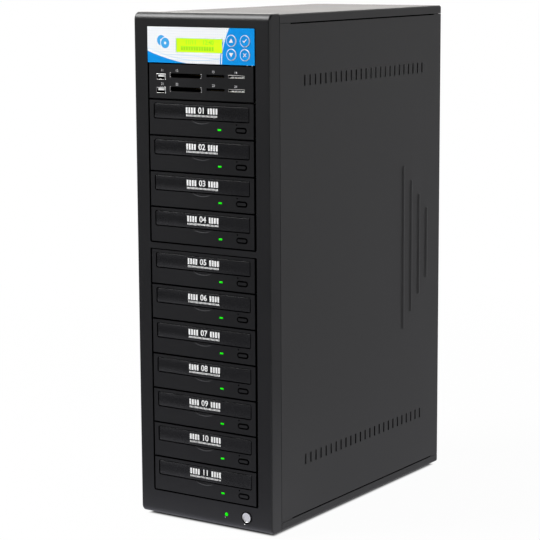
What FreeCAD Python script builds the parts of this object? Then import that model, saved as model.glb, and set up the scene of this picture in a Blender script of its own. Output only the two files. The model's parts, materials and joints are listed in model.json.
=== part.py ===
import FreeCAD, Part
import math
import os

# A tower disc duplicator: control panel, card reader and eleven disc drives in one steel case.
# Millimetres. +Z is up, the front faces -Y, and the origin is on the floor under the middle.

Vector = FreeCAD.Vector
TINY = 1e-4

# Sheet metal and mouldings
SHEET = 1.0
SEAT_GAP = 0.3
FIT_GAP = 0.2
RUNNING_GAP = 0.05

# A drive, from the disc outwards
DISC_D = 120.0
DISC_GAP = 0.75
TRAY_RIM = 3.75
TRAY_T = 8.5
TRAY_L = 160.0
TRAY_WELL_DEPTH = 4.6
TRAY_SLOT_W = 34.0
TRAY_DROP = 1.0
DOOR_LAP = 2.2
DOOR_GAP = 0.8
DOOR_H = 16.8
DOOR_T = 3.0
DOOR_RECESS = 0.4
DOOR_R = 2.5
DOOR_CLIP_GAP = 0.1
DOOR_MARGIN = 6.4
DOOR_BELOW_BAY_TOP = 5.2
SCALLOP_W = 27.0
SCALLOP_H = 3.0
SCALLOP_DEPTH = 1.4
DRIVE_BEZEL_D = 5.0
DRIVE_BEZEL_LIP = 0.9
DRIVE_BEZEL_CHAMFER = 0.7
DRIVE_D = 170.0
DRIVE_WALL = 0.8
DRIVE_END_GAP = 3.5
LOADER_FLOOR = 2.0
LOADER_LEDGE = 4.8
LOADER_LIP = 2.3
LED_X = 25.9
LED_Z = 9.8
LED_W = 5.0
LED_H = 2.1
LED_L = 6.0
LED_PROUD = 0.2
EJECT_X = 56.0
EJECT_Z = 10.5
EJECT_W = 13.8
EJECT_H = 5.0
EJECT_L = 7.0
EJECT_PROUD = 0.4
EJECT_RING = 1.0
EJECT_RING_D = 1.2
PINHOLE_X = 49.8
PINHOLE_DROP = 2.4
PINHOLE_D = 1.8

# The bays
LOWER_BAYS = 7
UPPER_BAYS = 6
BAY_PITCH = 42.0
BAY_GAP = 0.8
BAY_SIDE_GAP = 2.0
BAY_DIVIDER = 8.0
BAY_PROUD = 0.6
OPENING_R = 1.2

# The case
CHEEK_W = 19.1
SILL_H = 31.0
HEAD_H = 16.0
CASE_D = 394.0
FOOT_H = 3.5
FOOT_TOP_R = 12.0
FOOT_BASE_R = 9.5
FOOT_INSET = 38.0
BEZEL_D = 20.0
BEZEL_FACE = 3.0
BEZEL_WALL = 2.8
BEZEL_ROLL_R = 8.5
BEZEL_END_R = 2.0
COVER_STEP = 1.0
COVER_FLANGE = 10.0
PAN_FLANGE = 10.0
BEND_R = 3.0
BEZEL_SEAM = 0.8
PANEL_SEAM = 0.4
SEAM_RELIEF = 1.2
SEAM_FROM_BEZEL = 23.0
SEAM_FROM_REAR = 17.0
LIP_FROM_BEZEL = 4.0
PANEL_LIP = 7.0
PANEL_RETURN_W = 20.0
CAGE_DEPTH = 175.0
CAGE_SLOT_L = 12.0
CAGE_SLOT_H = 4.0
CAGE_SLOT_FRONT = 50.0
CAGE_SLOT_PITCH = 80.0
REAR_FLANGE = 10.0

# Vents and ribs of the side panels
VENT_COUNT = 25
VENT_PITCH = 11.4
VENT_W = 3.0
VENT_H = 12.5
VENT_FROM_BEZEL = 52.2
UPPER_VENT_BELOW_TOP = 76.5
LOWER_VENT_ABOVE_BASE = 76.0
RIB_COUNT = 4
RIB_PITCH = 19.7
RIB_W = 5.5
RIB_CREST_W = 2.5
RIB_H = 1.2
RIB_LENGTH = 91.5
RIB_STEP = 39.0
RIB_FROM_REAR = 34.0
RIB_MIDDLE_Z = 302.5

# Power button and lamp in the sill
POWER_X = 59.2
POWER_ABOVE_BASE = 16.3
POWER_R = 6.5
POWER_GAP = 0.8
POWER_PROUD = 1.5
POWER_BEVEL = 1.0
POWER_FLANGE = 1.8
POWER_FLANGE_T = 2.0
POWER_TRAVEL = 3.0
POWER_BOSS_WALL = 1.6
POWER_BOSS_D = 13.0
POWER_SWITCH_W = 20.0
POWER_SWITCH_D = 12.0
POWER_LED_X = 30.4
POWER_LED_ABOVE_BASE = 15.8
POWER_LED_R = 2.1
POWER_LED_PROUD = 0.9
POWER_LED_L = 8.0

# Control panel in the top bay
OVERLAY_T = 0.5
OVERLAY_EDGE_GAP = 0.9
FACE_T = 3.0
FACE_SKIRT_D = 9.0
FACE_SKIRT_WALL = 2.0
FACE_SKIRT_INSET = 1.6
DISPLAY_X = -1.5
DISPLAY_W = 64.5
DISPLAY_H = 15.6
DISPLAY_FRAME = 1.0
DISPLAY_RECESS = 0.2
BOARD_T = 1.6
BOARD_DEPTH = 8.6
KEY_R = 6.3
KEY_GAP = 0.3
KEY_PROUD = 0.8
KEY_L = 6.2
KEY_TRAVEL = 0.5
KEY_FLANGE = 0.7
KEY_FLANGE_T = 0.8
KEY_X = 52.9
KEY_PITCH_X = 18.6
KEY_PITCH_Z = 15.6
KEY_BELOW_MIDDLE = 1.4
KEY_SWITCH_W = 6.0
CONTROL_TRAY_D = 150.0
CONTROL_TRAY_WALL_H = 24.0
STANDOFF_H = 6.0
STANDOFF_R = 3.0
CONTROLLER_W = 130.0
CONTROLLER_L = 120.0
CONTROLLER_FRONT = 15.0
PORT_COUNT = 12
PORT_PITCH = 9.5
PORT_W = 6.5
PORT_H = 9.0
PORT_L = 14.0
HEATSINK_W = 36.0
HEATSINK_BASE = 4.0
HEATSINK_H = 12.0
HEATSINK_FINS = 6
HEATSINK_FIN_T = 1.5

# Card reader in the second bay, two rows of four
ROW_PITCH = 15.6
ROW_MIDDLE = 18.3
READER_ARM_D = 60.0
READER_ARM_T = 1.5
READER_BOARD_D = 50.0
READER_BOARD_DROP = 3.6
USB_X = -56.2
USB_W = 13.9
USB_H = 7.1
USB_WALL = 0.7
USB_D = 16.0
USB_TONGUE_W = 9.0
USB_TONGUE_T = 2.4
USB_TONGUE_RISE = 1.1
CARD_SLOTS = (
    # name, middle X, width, height, above the row's middle
    ("compact", -20.8, 45.0, 5.0, 1.9),
    ("secure", 21.1, 25.0, 2.8, 2.9),
    ("stick", 50.2, 22.6, 3.4, 2.8),
)
SOCKET_WALL = 1.2
SOCKET_D = 28.0

# Power supply at the top of the rear
PSU_W = 150.0
PSU_H = 86.0
PSU_D = 140.0
PSU_BELOW_TOP = 8.0
PSU_TAB = 16.0
PSU_FRAME = 4.0
PSU_FAN_GAP = 2.0
PSU_FAN_SIDE_GAP = 3.0
INLET_FROM_SIDE = 35.0
INLET_ABOVE_MIDDLE = 16.0
INLET_W = 24.0
INLET_H = 16.5
INLET_D = 17.0
INLET_WALL = 1.8
INLET_RIM = 2.0
INLET_RIM_T = 1.5
PIN_W = 2.0
PIN_H = 4.0
PIN_L = 11.0
PIN_PITCH = 7.0
PIN_OFFSET = 2.0
ROCKER_BELOW_MIDDLE = 20.0
ROCKER_W = 12.4
ROCKER_HALF_L = 8.4
ROCKER_GAP = 0.4
ROCKER_DEPTH = 5.0
ROCKER_TAPER = 2.4
ROCKER_CROWN = 2.0
ROCKER_EDGE = 0.5
ROCKER_TILT = 8.0
ROCKER_PIVOT_D = 3.0
ROCKER_PIN_R = 1.4
ROCKER_COLLAR = 1.6
ROCKER_COLLAR_PROUD = 0.8

# Fans; the power supply's own is as wide as its box allows
FAN_W = 80.0
FAN_D = 25.0
FAN_RIM = 2.0
FAN_HUB_R = 16.0
FAN_HUB_T = 4.0
FAN_STRUT_W = 3.0
FAN_TIP_GAP = 1.2
FAN_SHAFT_R = 1.5
FAN_BLADES = 7
FAN_BLADE_T = 1.6
FAN_BLADE_PITCH = 40.0
FAN_BLADE_CHORD = 18.0
FAN_CUP_GAP = 1.0
GRILLE_INSET = 1.0
GRILLE_SLOT = 3.4
GRILLE_PITCH = 6.2
GRILLE_SHORTEST = 20.0
UPPER_FAN_Z = 345.0
LOWER_FAN_Z = 165.0

# Fasteners
THUMB_HEAD_R = 5.2
THUMB_HEAD_L = 7.0
THUMB_COLLAR_R = 3.8
THUMB_COLLAR_L = 1.5
THUMB_SHANK_R = 1.7
THUMB_SHANK_L = 8.0
THUMB_FROM_END = 100.0

# Heights and depths that follow from the sizes above
BAY_COUNT = LOWER_BAYS + UPPER_BAYS
CONTROL_BAY = BAY_COUNT - 1
READER_BAY = BAY_COUNT - 2
DRIVE_BAYS = list(range(READER_BAY - 1, -1, -1))
LOWER_H = LOWER_BAYS * BAY_PITCH
UPPER_H = UPPER_BAYS * BAY_PITCH
BASE_Z = FOOT_H
LOWER_Z = BASE_Z + SILL_H
UPPER_Z = LOWER_Z + LOWER_H + BAY_DIVIDER
TOP_Z = UPPER_Z + UPPER_H + HEAD_H
COVER_Z = TOP_Z - COVER_STEP
WELL_R = DISC_D / 2 + DISC_GAP
TRAY_W = 2 * (WELL_R + TRAY_RIM)
DOOR_W = TRAY_W + 2 * DOOR_LAP
DRIVE_BEZEL_W = DOOR_W + 2 * (DOOR_GAP + DOOR_MARGIN)
DRIVE_BEZEL_H = BAY_PITCH - BAY_GAP
DRIVE_W = DRIVE_BEZEL_W - 2 * DRIVE_BEZEL_LIP
BAY_W = DRIVE_BEZEL_W + 2 * BAY_SIDE_GAP
CASE_W = BAY_W + 2 * CHEEK_W
HALF_W = CASE_W / 2
FRONT_Y = -(CASE_D + THUMB_HEAD_L - POWER_PROUD) / 2
REAR_Y = FRONT_Y + CASE_D
BEZEL_BACK_Y = FRONT_Y + BEZEL_D
BAY_FRONT_Y = FRONT_Y - BAY_PROUD
PANEL_FRONT_Y = BEZEL_BACK_Y + BEZEL_SEAM
REAR_FACE_Y = REAR_Y - SHEET
REAR_INNER_Y = REAR_FACE_Y - SHEET
POWER_Z = BASE_Z + POWER_ABOVE_BASE
POWER_LED_Z = BASE_Z + POWER_LED_ABOVE_BASE
PANEL_Z0 = BASE_Z + PAN_FLANGE + PANEL_SEAM
PANEL_Z1 = COVER_Z - COVER_FLANGE - PANEL_SEAM
CAGE_X = DRIVE_W / 2 + SEAT_GAP
PSU_Z1 = COVER_Z - PSU_BELOW_TOP
PSU_Z0 = PSU_Z1 - PSU_H
PSU_MIDDLE_Z = (PSU_Z0 + PSU_Z1) / 2
PSU_FAN_W = PSU_H - 2 * (SHEET + PSU_FAN_GAP)
PSU_FAN_X = PSU_W / 2 - SHEET - PSU_FAN_SIDE_GAP - PSU_FAN_W / 2
PSU_SIDE_X = INLET_FROM_SIDE - PSU_W / 2
FAN_PLACES = ((0.0, UPPER_FAN_Z), (0.0, LOWER_FAN_Z))
POWER_BORE_R = POWER_R + POWER_FLANGE + POWER_GAP
ROCKER_Z = PSU_MIDDLE_Z - ROCKER_BELOW_MIDDLE
ROCKER_PIVOT_Y = REAR_INNER_Y - ROCKER_PIVOT_D
THUMB_X = HALF_W - PANEL_RETURN_W / 2


# Shapes that many pieces share

def box(x0, x1, y0, y1, z0, z1):
    return Part.makeBox(x1 - x0, y1 - y0, z1 - z0, Vector(x0, y0, z0))


def block(x, z, width, height, y0, y1):
    """A box given by the middle and size of its front face."""
    return box(x - width / 2, x + width / 2, y0, y1, z - height / 2, z + height / 2)


def rod(x, z, radius, y0, y1):
    """A round bar along Y."""
    return Part.makeCylinder(radius, y1 - y0, Vector(x, y0, z), Vector(0, 1, 0))


def prism(points, sweep):
    """The closed outline through the points, pushed along the sweep."""
    corners = [Vector(*p) for p in points]
    return Part.Face(Part.makePolygon(corners + corners[:1])).extrude(Vector(*sweep))


def rounded_box(x0, x1, y0, y1, z0, z1, radius):
    """A box whose four edges along Y are rounded."""
    solid = box(x0, x1, y0, y1, z0, z1)
    along = [e for e in solid.Edges if abs(e.tangentAt(e.FirstParameter).y) > 0.5]
    return solid.makeFillet(radius, along)


def obround(x, z, width, height, y0, y1):
    """A bar along Y whose section is a slot with round ends."""
    radius = height / 2
    reach = width / 2 - radius
    left, right = x - reach, x + reach
    upper, lower = z + radius, z - radius
    outline = Part.Wire([
        Part.LineSegment(Vector(left, y0, upper), Vector(right, y0, upper)).toShape(),
        Part.Arc(Vector(right, y0, upper), Vector(right + radius, y0, z), Vector(right, y0, lower)).toShape(),
        Part.LineSegment(Vector(right, y0, lower), Vector(left, y0, lower)).toShape(),
        Part.Arc(Vector(left, y0, lower), Vector(left - radius, y0, z), Vector(left, y0, upper)).toShape(),
    ])
    return Part.Face(outline).extrude(Vector(0, y1 - y0, 0))


def turned(profile, x, z):
    """Turn a list of (radius, y) points about the Y axis through x, z."""
    points = [Vector(x + r, y, z) for r, y in profile]
    face = Part.Face(Part.makePolygon(points + points[:1]))
    return face.revolve(Vector(x, 0, z), Vector(0, 1, 0), 360)


def front_edges(solid, y):
    """The edges that lie in the plane at y."""
    return [e for e in solid.Edges if all(abs(v.Y - y) < TINY for v in e.Vertexes)]


def mirrored(solid):
    """The same piece for the other side of the case."""
    return solid.mirror(Vector(0, 0, 0), Vector(1, 0, 0))


def bay_floor(bay):
    """The height of a bay's floor, where bay 0 is the lowest."""
    step = BAY_DIVIDER if bay >= LOWER_BAYS else 0.0
    return LOWER_Z + bay * BAY_PITCH + step


def save(node, *solids):
    """Write one node, as one solid or as a group of separate ones."""
    cleaned = [s.removeSplitter() for s in solids]
    whole = cleaned[0] if len(cleaned) == 1 else Part.makeCompound(cleaned)
    whole.exportStep(os.path.join("parts", node + ".step"))


# Front bezel

def rolled_box(half_w, front, z0, z1, radius):
    """A box as deep as the bezel whose upper and lower front edges are rolled."""
    solid = box(-half_w, half_w, front, BEZEL_BACK_Y, z0, z1)
    across = [e for e in front_edges(solid, front) if abs(e.tangentAt(e.FirstParameter).x) > 0.5]
    return solid.makeFillet(radius, across)


def front_bezel():
    """A hollow moulding with a collar round each bay opening and a boss for the power button."""
    shell = rolled_box(HALF_W, FRONT_Y, BASE_Z, TOP_Z, BEZEL_ROLL_R)
    ends = [e for e in shell.Edges if e.BoundBox.XLength < TINY and e.CenterOfMass.y < BEZEL_BACK_Y - TINY]
    shell = shell.makeFillet(BEZEL_END_R, ends)
    inner_y = FRONT_Y + BEZEL_FACE
    inner_x = HALF_W - BEZEL_WALL
    hollow = rolled_box(inner_x, inner_y, BASE_Z + BEZEL_WALL, TOP_Z - BEZEL_WALL, BEZEL_ROLL_R - BEZEL_FACE)
    shell = shell.cut(hollow)
    openings = ((LOWER_Z, LOWER_Z + LOWER_H), (UPPER_Z, UPPER_Z + UPPER_H))
    for z0, z1 in openings:
        collar_x = BAY_W / 2 + BEZEL_WALL
        shell = shell.fuse(box(-collar_x, collar_x, inner_y, BEZEL_BACK_Y, z0 - BEZEL_WALL, z1 + BEZEL_WALL))
    boss_end_y = FRONT_Y + POWER_BOSS_D
    shell = shell.fuse(rod(POWER_X, POWER_Z, POWER_BORE_R + POWER_BOSS_WALL, inner_y, boss_end_y))
    shell = shell.cut(rod(POWER_X, POWER_Z, POWER_BORE_R, inner_y, boss_end_y))
    shell = shell.cut(rod(POWER_X, POWER_Z, POWER_R + POWER_GAP, FRONT_Y, inner_y))
    shell = shell.cut(rod(POWER_LED_X, POWER_LED_Z, POWER_LED_R + FIT_GAP, FRONT_Y, inner_y))
    for z0, z1 in openings:
        shell = shell.cut(rounded_box(-BAY_W / 2, BAY_W / 2, FRONT_Y, BEZEL_BACK_Y, z0, z1, OPENING_R))
    return shell


def power_button():
    """A cap with a bevelled rim, and a flange that the bezel holds back."""
    front = FRONT_Y - POWER_PROUD
    flange_y = FRONT_Y + BEZEL_FACE + FIT_GAP
    end_y = FRONT_Y + POWER_BOSS_D - POWER_TRAVEL - SEAT_GAP
    cap = rod(POWER_X, POWER_Z, POWER_R, front, end_y)
    cap = cap.makeChamfer(POWER_BEVEL, front_edges(cap, front))
    flange = rod(POWER_X, POWER_Z, POWER_R + POWER_FLANGE, flange_y, flange_y + POWER_FLANGE_T)
    return cap.fuse(flange)


def power_switch_body():
    """The switch that snaps onto the back of the bezel's boss."""
    y0 = FRONT_Y + POWER_BOSS_D
    return block(POWER_X, POWER_Z, POWER_SWITCH_W, POWER_SWITCH_W, y0, y0 + POWER_SWITCH_D)


def power_led():
    """A round lamp with a domed end."""
    tip = FRONT_Y - POWER_LED_PROUD
    lamp = rod(POWER_LED_X, POWER_LED_Z, POWER_LED_R, tip, tip + POWER_LED_L)
    return lamp.makeFillet(POWER_LED_PROUD, front_edges(lamp, tip))


# Sheet-metal case

def channel(z, flange_z):
    """A sheet with two flanges bent along the sides of the case; z is its outer face."""
    away = 1 if flange_z > z else -1
    inner_z = z + away * SHEET
    inner_x = HALF_W - SHEET
    outline = [(-HALF_W, z), (HALF_W, z), (HALF_W, flange_z), (inner_x, flange_z),
               (inner_x, inner_z), (-inner_x, inner_z), (-inner_x, flange_z), (-HALF_W, flange_z)]
    sheet = prism([(x, PANEL_FRONT_Y, h) for x, h in outline], (0, REAR_Y - PANEL_FRONT_Y, 0))
    bends = {z: BEND_R, inner_z: BEND_R - SHEET}
    for height, radius in bends.items():
        half = HALF_W if height == z else inner_x
        corner = [e for e in sheet.Edges
                  if all(abs(v.Z - height) < TINY and abs(abs(v.X) - half) < TINY for v in e.Vertexes)
                  and abs(e.tangentAt(e.FirstParameter).y) > 0.5]
        if radius > TINY:
            sheet = sheet.makeFillet(radius, corner)
    return sheet


def pressed_rib(y, length, x):
    """A bead pressed out of the sheet, with sloping sides; x is the face that it rises from."""
    base_h, crest_h = length / 2, (length - RIB_W + RIB_CREST_W) / 2
    base_w, crest_w = RIB_W / 2, RIB_CREST_W / 2
    rings = []
    for half_y, half_z, height in ((base_w, base_h, 0.0), (crest_w, crest_h, RIB_H)):
        corners = [Vector(x + height, y + sy * half_y, RIB_MIDDLE_Z + sz * half_z)
                   for sy, sz in ((-1, -1), (1, -1), (1, 1), (-1, 1))]
        rings.append(Part.makePolygon(corners + corners[:1]))
    return Part.makeLoft(rings, True, True)


def right_side_panel():
    """A sheet between the flanges, with lips behind them, vents, ribs and a return at the rear."""
    inner_x = HALF_W - SHEET
    panel = box(inner_x, HALF_W, PANEL_FRONT_Y, REAR_Y, PANEL_Z0, PANEL_Z1)
    lip_x1 = inner_x - FIT_GAP
    lip_x0 = lip_x1 - SHEET
    lip_y0, lip_y1 = BEZEL_BACK_Y + LIP_FROM_BEZEL, REAR_Y - SEAM_FROM_REAR
    seam_y0 = BEZEL_BACK_Y + SEAM_FROM_BEZEL
    for edge_z, away in ((PANEL_Z0, -1), (PANEL_Z1, 1)):
        root_z = edge_z - away * SEAM_RELIEF
        step_z = root_z - away * SHEET
        low, high = sorted((step_z, edge_z + away * PANEL_LIP))
        panel = panel.fuse(box(lip_x0, lip_x1, lip_y0, lip_y1, low, high))
        low, high = sorted((step_z, root_z))
        panel = panel.fuse(box(lip_x0, inner_x, lip_y0, lip_y1, low, high))
        low, high = sorted((root_z, edge_z))
        panel = panel.cut(box(inner_x, HALF_W, seam_y0, lip_y1, low, high))
    panel = panel.fuse(box(HALF_W - PANEL_RETURN_W, HALF_W, REAR_FACE_Y, REAR_Y, PANEL_Z0, PANEL_Z1))
    first_y = BEZEL_BACK_Y + VENT_FROM_BEZEL
    vents = []
    for z in (COVER_Z - UPPER_VENT_BELOW_TOP, BASE_Z + LOWER_VENT_ABOVE_BASE):
        for i in range(VENT_COUNT):
            y = first_y + i * VENT_PITCH
            vents.append(box(inner_x, HALF_W, y - VENT_W / 2, y + VENT_W / 2, z - VENT_H / 2, z + VENT_H / 2))
    panel = panel.cut(Part.makeCompound(vents))
    for i in range(RIB_COUNT):
        y = REAR_Y - RIB_FROM_REAR - i * RIB_PITCH
        length = RIB_LENGTH + i * RIB_STEP
        panel = panel.fuse(pressed_rib(y, length, HALF_W))
        panel = panel.cut(pressed_rib(y, length, inner_x))
    for z in thumbscrew_heights():
        panel = panel.cut(rod(THUMB_X, z, THUMB_SHANK_R + FIT_GAP, REAR_FACE_Y, REAR_Y))
    return panel


def thumbscrew_heights():
    return (PANEL_Z0 + THUMB_FROM_END, PANEL_Z1 - THUMB_FROM_END)


def duct_radius(fan_w):
    return fan_w / 2 - FAN_RIM


def grille(x, z, fan_w, y0, y1):
    """The level slots of a stamped fan grille, as long as the round duct behind them allows."""
    radius = duct_radius(fan_w) - GRILLE_INSET
    highest = math.sqrt(radius ** 2 - (GRILLE_SHORTEST / 2) ** 2)
    rows = int((highest - GRILLE_SLOT / 2) / GRILLE_PITCH)
    slots = []
    for row in range(-rows, rows + 1):
        rise = abs(row) * GRILLE_PITCH + GRILLE_SLOT / 2
        half = math.sqrt(radius ** 2 - rise ** 2)
        slots.append(block(x, z + row * GRILLE_PITCH, 2 * half, GRILLE_SLOT, y0, y1))
    return Part.makeCompound(slots)


def rear_panel():
    """A sheet with a flange at top and bottom, fan grilles, and a window for the power supply."""
    half = HALF_W - BEND_R - FIT_GAP
    low, high = BASE_Z + SHEET, COVER_Z - SHEET
    flange_y = REAR_INNER_Y - REAR_FLANGE
    sheet = box(-half, half, REAR_INNER_Y, REAR_FACE_Y, low, high)
    flange_half = half - PANEL_LIP
    sheet = sheet.fuse(box(-flange_half, flange_half, flange_y, REAR_INNER_Y, low, low + SHEET))
    sheet = sheet.fuse(box(-flange_half, flange_half, flange_y, REAR_INNER_Y, high - SHEET, high))
    window = block(0, PSU_MIDDLE_Z, PSU_W - 2 * PSU_FRAME, PSU_H - 2 * PSU_FRAME, REAR_INNER_Y, REAR_FACE_Y)
    for sx in (-1, 1):
        for sz in (-1, 1):
            x = sx * (PSU_W / 2 - PSU_TAB / 2)
            z = PSU_MIDDLE_Z + sz * (PSU_H / 2 - PSU_TAB / 2)
            window = window.cut(block(x, z, PSU_TAB, PSU_TAB, REAR_INNER_Y, REAR_FACE_Y))
    sheet = sheet.cut(window)
    for x, z in FAN_PLACES:
        sheet = sheet.cut(grille(x, z, FAN_W, REAR_INNER_Y, REAR_FACE_Y))
    holes = [rod(sx * THUMB_X, z, THUMB_SHANK_R + FIT_GAP, REAR_INNER_Y, REAR_FACE_Y)
             for sx in (-1, 1) for z in thumbscrew_heights()]
    return sheet.cut(Part.makeCompound(holes))


def right_cage_wall():
    """One wall of the drive cage, with screw slots and the front flange that the bezel seats on."""
    low, high = BASE_Z + SHEET, COVER_Z - SHEET
    wall = box(CAGE_X, CAGE_X + SHEET, BEZEL_BACK_Y, BEZEL_BACK_Y + CAGE_DEPTH, low, high)
    wall = wall.fuse(box(CAGE_X, HALF_W - SHEET - BEND_R, BEZEL_BACK_Y, BEZEL_BACK_Y + SHEET, low, high))
    slots = []
    for bay in range(BAY_COUNT):
        z = bay_floor(bay) + EJECT_Z
        for i in range(2):
            y = BEZEL_BACK_Y + CAGE_SLOT_FRONT + i * CAGE_SLOT_PITCH
            slots.append(box(CAGE_X, CAGE_X + SHEET, y - CAGE_SLOT_L / 2, y + CAGE_SLOT_L / 2,
                             z - CAGE_SLOT_H / 2, z + CAGE_SLOT_H / 2))
    return wall.cut(Part.makeCompound(slots))


def feet():
    """Four low rubber feet, set in from the edges."""
    x = HALF_W - FOOT_INSET
    places = [(sx * x, y) for sx in (-1, 1) for y in (PANEL_FRONT_Y + FOOT_INSET, REAR_Y - FOOT_INSET)]
    return [Part.makeCone(FOOT_BASE_R, FOOT_TOP_R, FOOT_H, Vector(px, py, 0)) for px, py in places]


def thumbscrews():
    """Turned screws that hold the side panels' returns to the rear panel."""
    profile = [(0, THUMB_HEAD_L), (THUMB_HEAD_R, THUMB_HEAD_L), (THUMB_HEAD_R, THUMB_COLLAR_L),
               (THUMB_COLLAR_R, THUMB_COLLAR_L), (THUMB_COLLAR_R, 0), (THUMB_SHANK_R, 0),
               (THUMB_SHANK_R, -THUMB_SHANK_L), (0, -THUMB_SHANK_L)]
    screw = [(r, REAR_Y + y) for r, y in profile]
    return [turned(screw, sx * THUMB_X, z) for sx in (-1, 1) for z in thumbscrew_heights()]


# Control panel in the top bay

def key_places():
    z = bay_floor(CONTROL_BAY) + BAY_PITCH / 2 - KEY_BELOW_MIDDLE
    dx, dz = KEY_PITCH_X / 2, KEY_PITCH_Z / 2
    return {
        "up_key": (KEY_X - dx, z + dz),
        "down_key": (KEY_X - dx, z - dz),
        "enter_key": (KEY_X + dx, z + dz),
        "escape_key": (KEY_X + dx, z - dz),
    }


def with_key_holes(sheet, y0, y1):
    holes = [rod(x, z, KEY_R + KEY_GAP, y0, y1) for x, z in key_places().values()]
    return sheet.cut(Part.makeCompound(holes))


CONTROL_Z = bay_floor(CONTROL_BAY) + BAY_PITCH / 2
FACE_FRONT_Y = BAY_FRONT_Y + OVERLAY_T
FACE_BACK_Y = FACE_FRONT_Y + FACE_T
SKIRT_END_Y = FACE_BACK_Y + FACE_SKIRT_D
BOARD_FRONT_Y = FACE_FRONT_Y + BOARD_DEPTH
SKIRT_W = DRIVE_W - 2 * FACE_SKIRT_INSET
SKIRT_H = DRIVE_BEZEL_H - 2 * FACE_SKIRT_INSET


def control_panel_overlay():
    """The printed film, with a window for the display and holes for the keys."""
    width = BAY_W - 2 * OVERLAY_EDGE_GAP
    film = block(0, CONTROL_Z, width, DRIVE_BEZEL_H, BAY_FRONT_Y, FACE_FRONT_Y)
    film = film.cut(block(DISPLAY_X, CONTROL_Z, DISPLAY_W, DISPLAY_H, BAY_FRONT_Y, FACE_FRONT_Y))
    return with_key_holes(film, BAY_FRONT_Y, FACE_FRONT_Y)


def control_panel_face():
    """The moulding behind the film, with a skirt that holds the display board."""
    face = block(0, CONTROL_Z, DRIVE_BEZEL_W, DRIVE_BEZEL_H, FACE_FRONT_Y, FACE_BACK_Y)
    skirt = block(0, CONTROL_Z, SKIRT_W, SKIRT_H, FACE_BACK_Y, SKIRT_END_Y)
    inside_w, inside_h = SKIRT_W - 2 * FACE_SKIRT_WALL, SKIRT_H - 2 * FACE_SKIRT_WALL
    skirt = skirt.cut(block(0, CONTROL_Z, inside_w, inside_h, FACE_BACK_Y, SKIRT_END_Y))
    face = face.fuse(skirt)
    window_w = DISPLAY_W + 2 * (DISPLAY_FRAME + FIT_GAP)
    window_h = DISPLAY_H + 2 * (DISPLAY_FRAME + FIT_GAP)
    face = face.cut(block(DISPLAY_X, CONTROL_Z, window_w, window_h, FACE_FRONT_Y, FACE_BACK_Y))
    return with_key_holes(face, FACE_FRONT_Y, FACE_BACK_Y)


def display_module():
    """The display, which stands on the key board and fills the window of the face."""
    glass_y = FACE_FRONT_Y + DISPLAY_RECESS
    return block(DISPLAY_X, CONTROL_Z, DISPLAY_W + 2 * DISPLAY_FRAME, DISPLAY_H + 2 * DISPLAY_FRAME,
                 glass_y, BOARD_FRONT_Y)


def key_board():
    """The board that carries the display, with a switch behind each key."""
    width = SKIRT_W - 2 * (FACE_SKIRT_WALL + FIT_GAP)
    height = SKIRT_H - 2 * (FACE_SKIRT_WALL + FIT_GAP)
    board = block(0, CONTROL_Z, width, height, BOARD_FRONT_Y, BOARD_FRONT_Y + BOARD_T)
    switch_y = BAY_FRONT_Y - KEY_PROUD + KEY_L + KEY_TRAVEL + SEAT_GAP
    for x, z in key_places().values():
        board = board.fuse(block(x, z, KEY_SWITCH_W, KEY_SWITCH_W, switch_y, BOARD_FRONT_Y))
    return board


def key(x, z):
    """A round key with a square flange that the face holds back."""
    front = BAY_FRONT_Y - KEY_PROUD
    cap = rod(x, z, KEY_R, front, front + KEY_L)
    flange_y = FACE_BACK_Y + FIT_GAP
    flange_w = 2 * (KEY_R + KEY_FLANGE)
    return cap.fuse(block(x, z, flange_w, flange_w, flange_y, flange_y + KEY_FLANGE_T))


def controller_tray():
    """A folded steel tray behind the control panel, with a front flange and four standoffs."""
    x1 = DRIVE_W / 2
    z0 = CONTROL_Z - SKIRT_H / 2
    y0, y1 = SKIRT_END_Y, SKIRT_END_Y + CONTROL_TRAY_D
    tray = box(-x1, x1, y0, y1, z0, z0 + SHEET)
    for x in (-x1, x1 - SHEET):
        tray = tray.fuse(box(x, x + SHEET, y0, y1, z0, z0 + CONTROL_TRAY_WALL_H))
    tray = tray.fuse(box(-x1, x1, y0, y0 + SHEET, z0, z0 + SKIRT_H))
    for x, y in standoff_places():
        tray = tray.fuse(Part.makeCylinder(STANDOFF_R, STANDOFF_H, Vector(x, y, z0 + SHEET)))
    return tray


def standoff_places():
    y0 = SKIRT_END_Y + CONTROLLER_FRONT
    dx = CONTROLLER_W / 2 - 2 * STANDOFF_R
    ys = (y0 + 2 * STANDOFF_R, y0 + CONTROLLER_L - 2 * STANDOFF_R)
    return [(sx * dx, y) for sx in (-1, 1) for y in ys]


def controller_board():
    """The copy controller: a finned chip cooler and a row of drive ports at the rear edge."""
    y0 = SKIRT_END_Y + CONTROLLER_FRONT
    y1 = y0 + CONTROLLER_L
    z0 = CONTROL_Z - SKIRT_H / 2 + SHEET + STANDOFF_H
    top = z0 + BOARD_T
    board = box(-CONTROLLER_W / 2, CONTROLLER_W / 2, y0, y1, z0, top)
    for i in range(PORT_COUNT):
        x = (i - (PORT_COUNT - 1) / 2) * PORT_PITCH
        board = board.fuse(box(x - PORT_W / 2, x + PORT_W / 2, y1 - PORT_L, y1, top, top + PORT_H))
    middle = y0 + CONTROLLER_L / 3
    half = HEATSINK_W / 2
    board = board.fuse(box(-half, half, middle - half, middle + half, top, top + HEATSINK_BASE))
    fin_pitch = (HEATSINK_W - HEATSINK_FIN_T) / (HEATSINK_FINS - 1)
    for i in range(HEATSINK_FINS):
        x = -half + i * fin_pitch
        board = board.fuse(box(x, x + HEATSINK_FIN_T, middle - half, middle + half,
                               top + HEATSINK_BASE, top + HEATSINK_H))
    return board


# Card reader in the second bay

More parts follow.
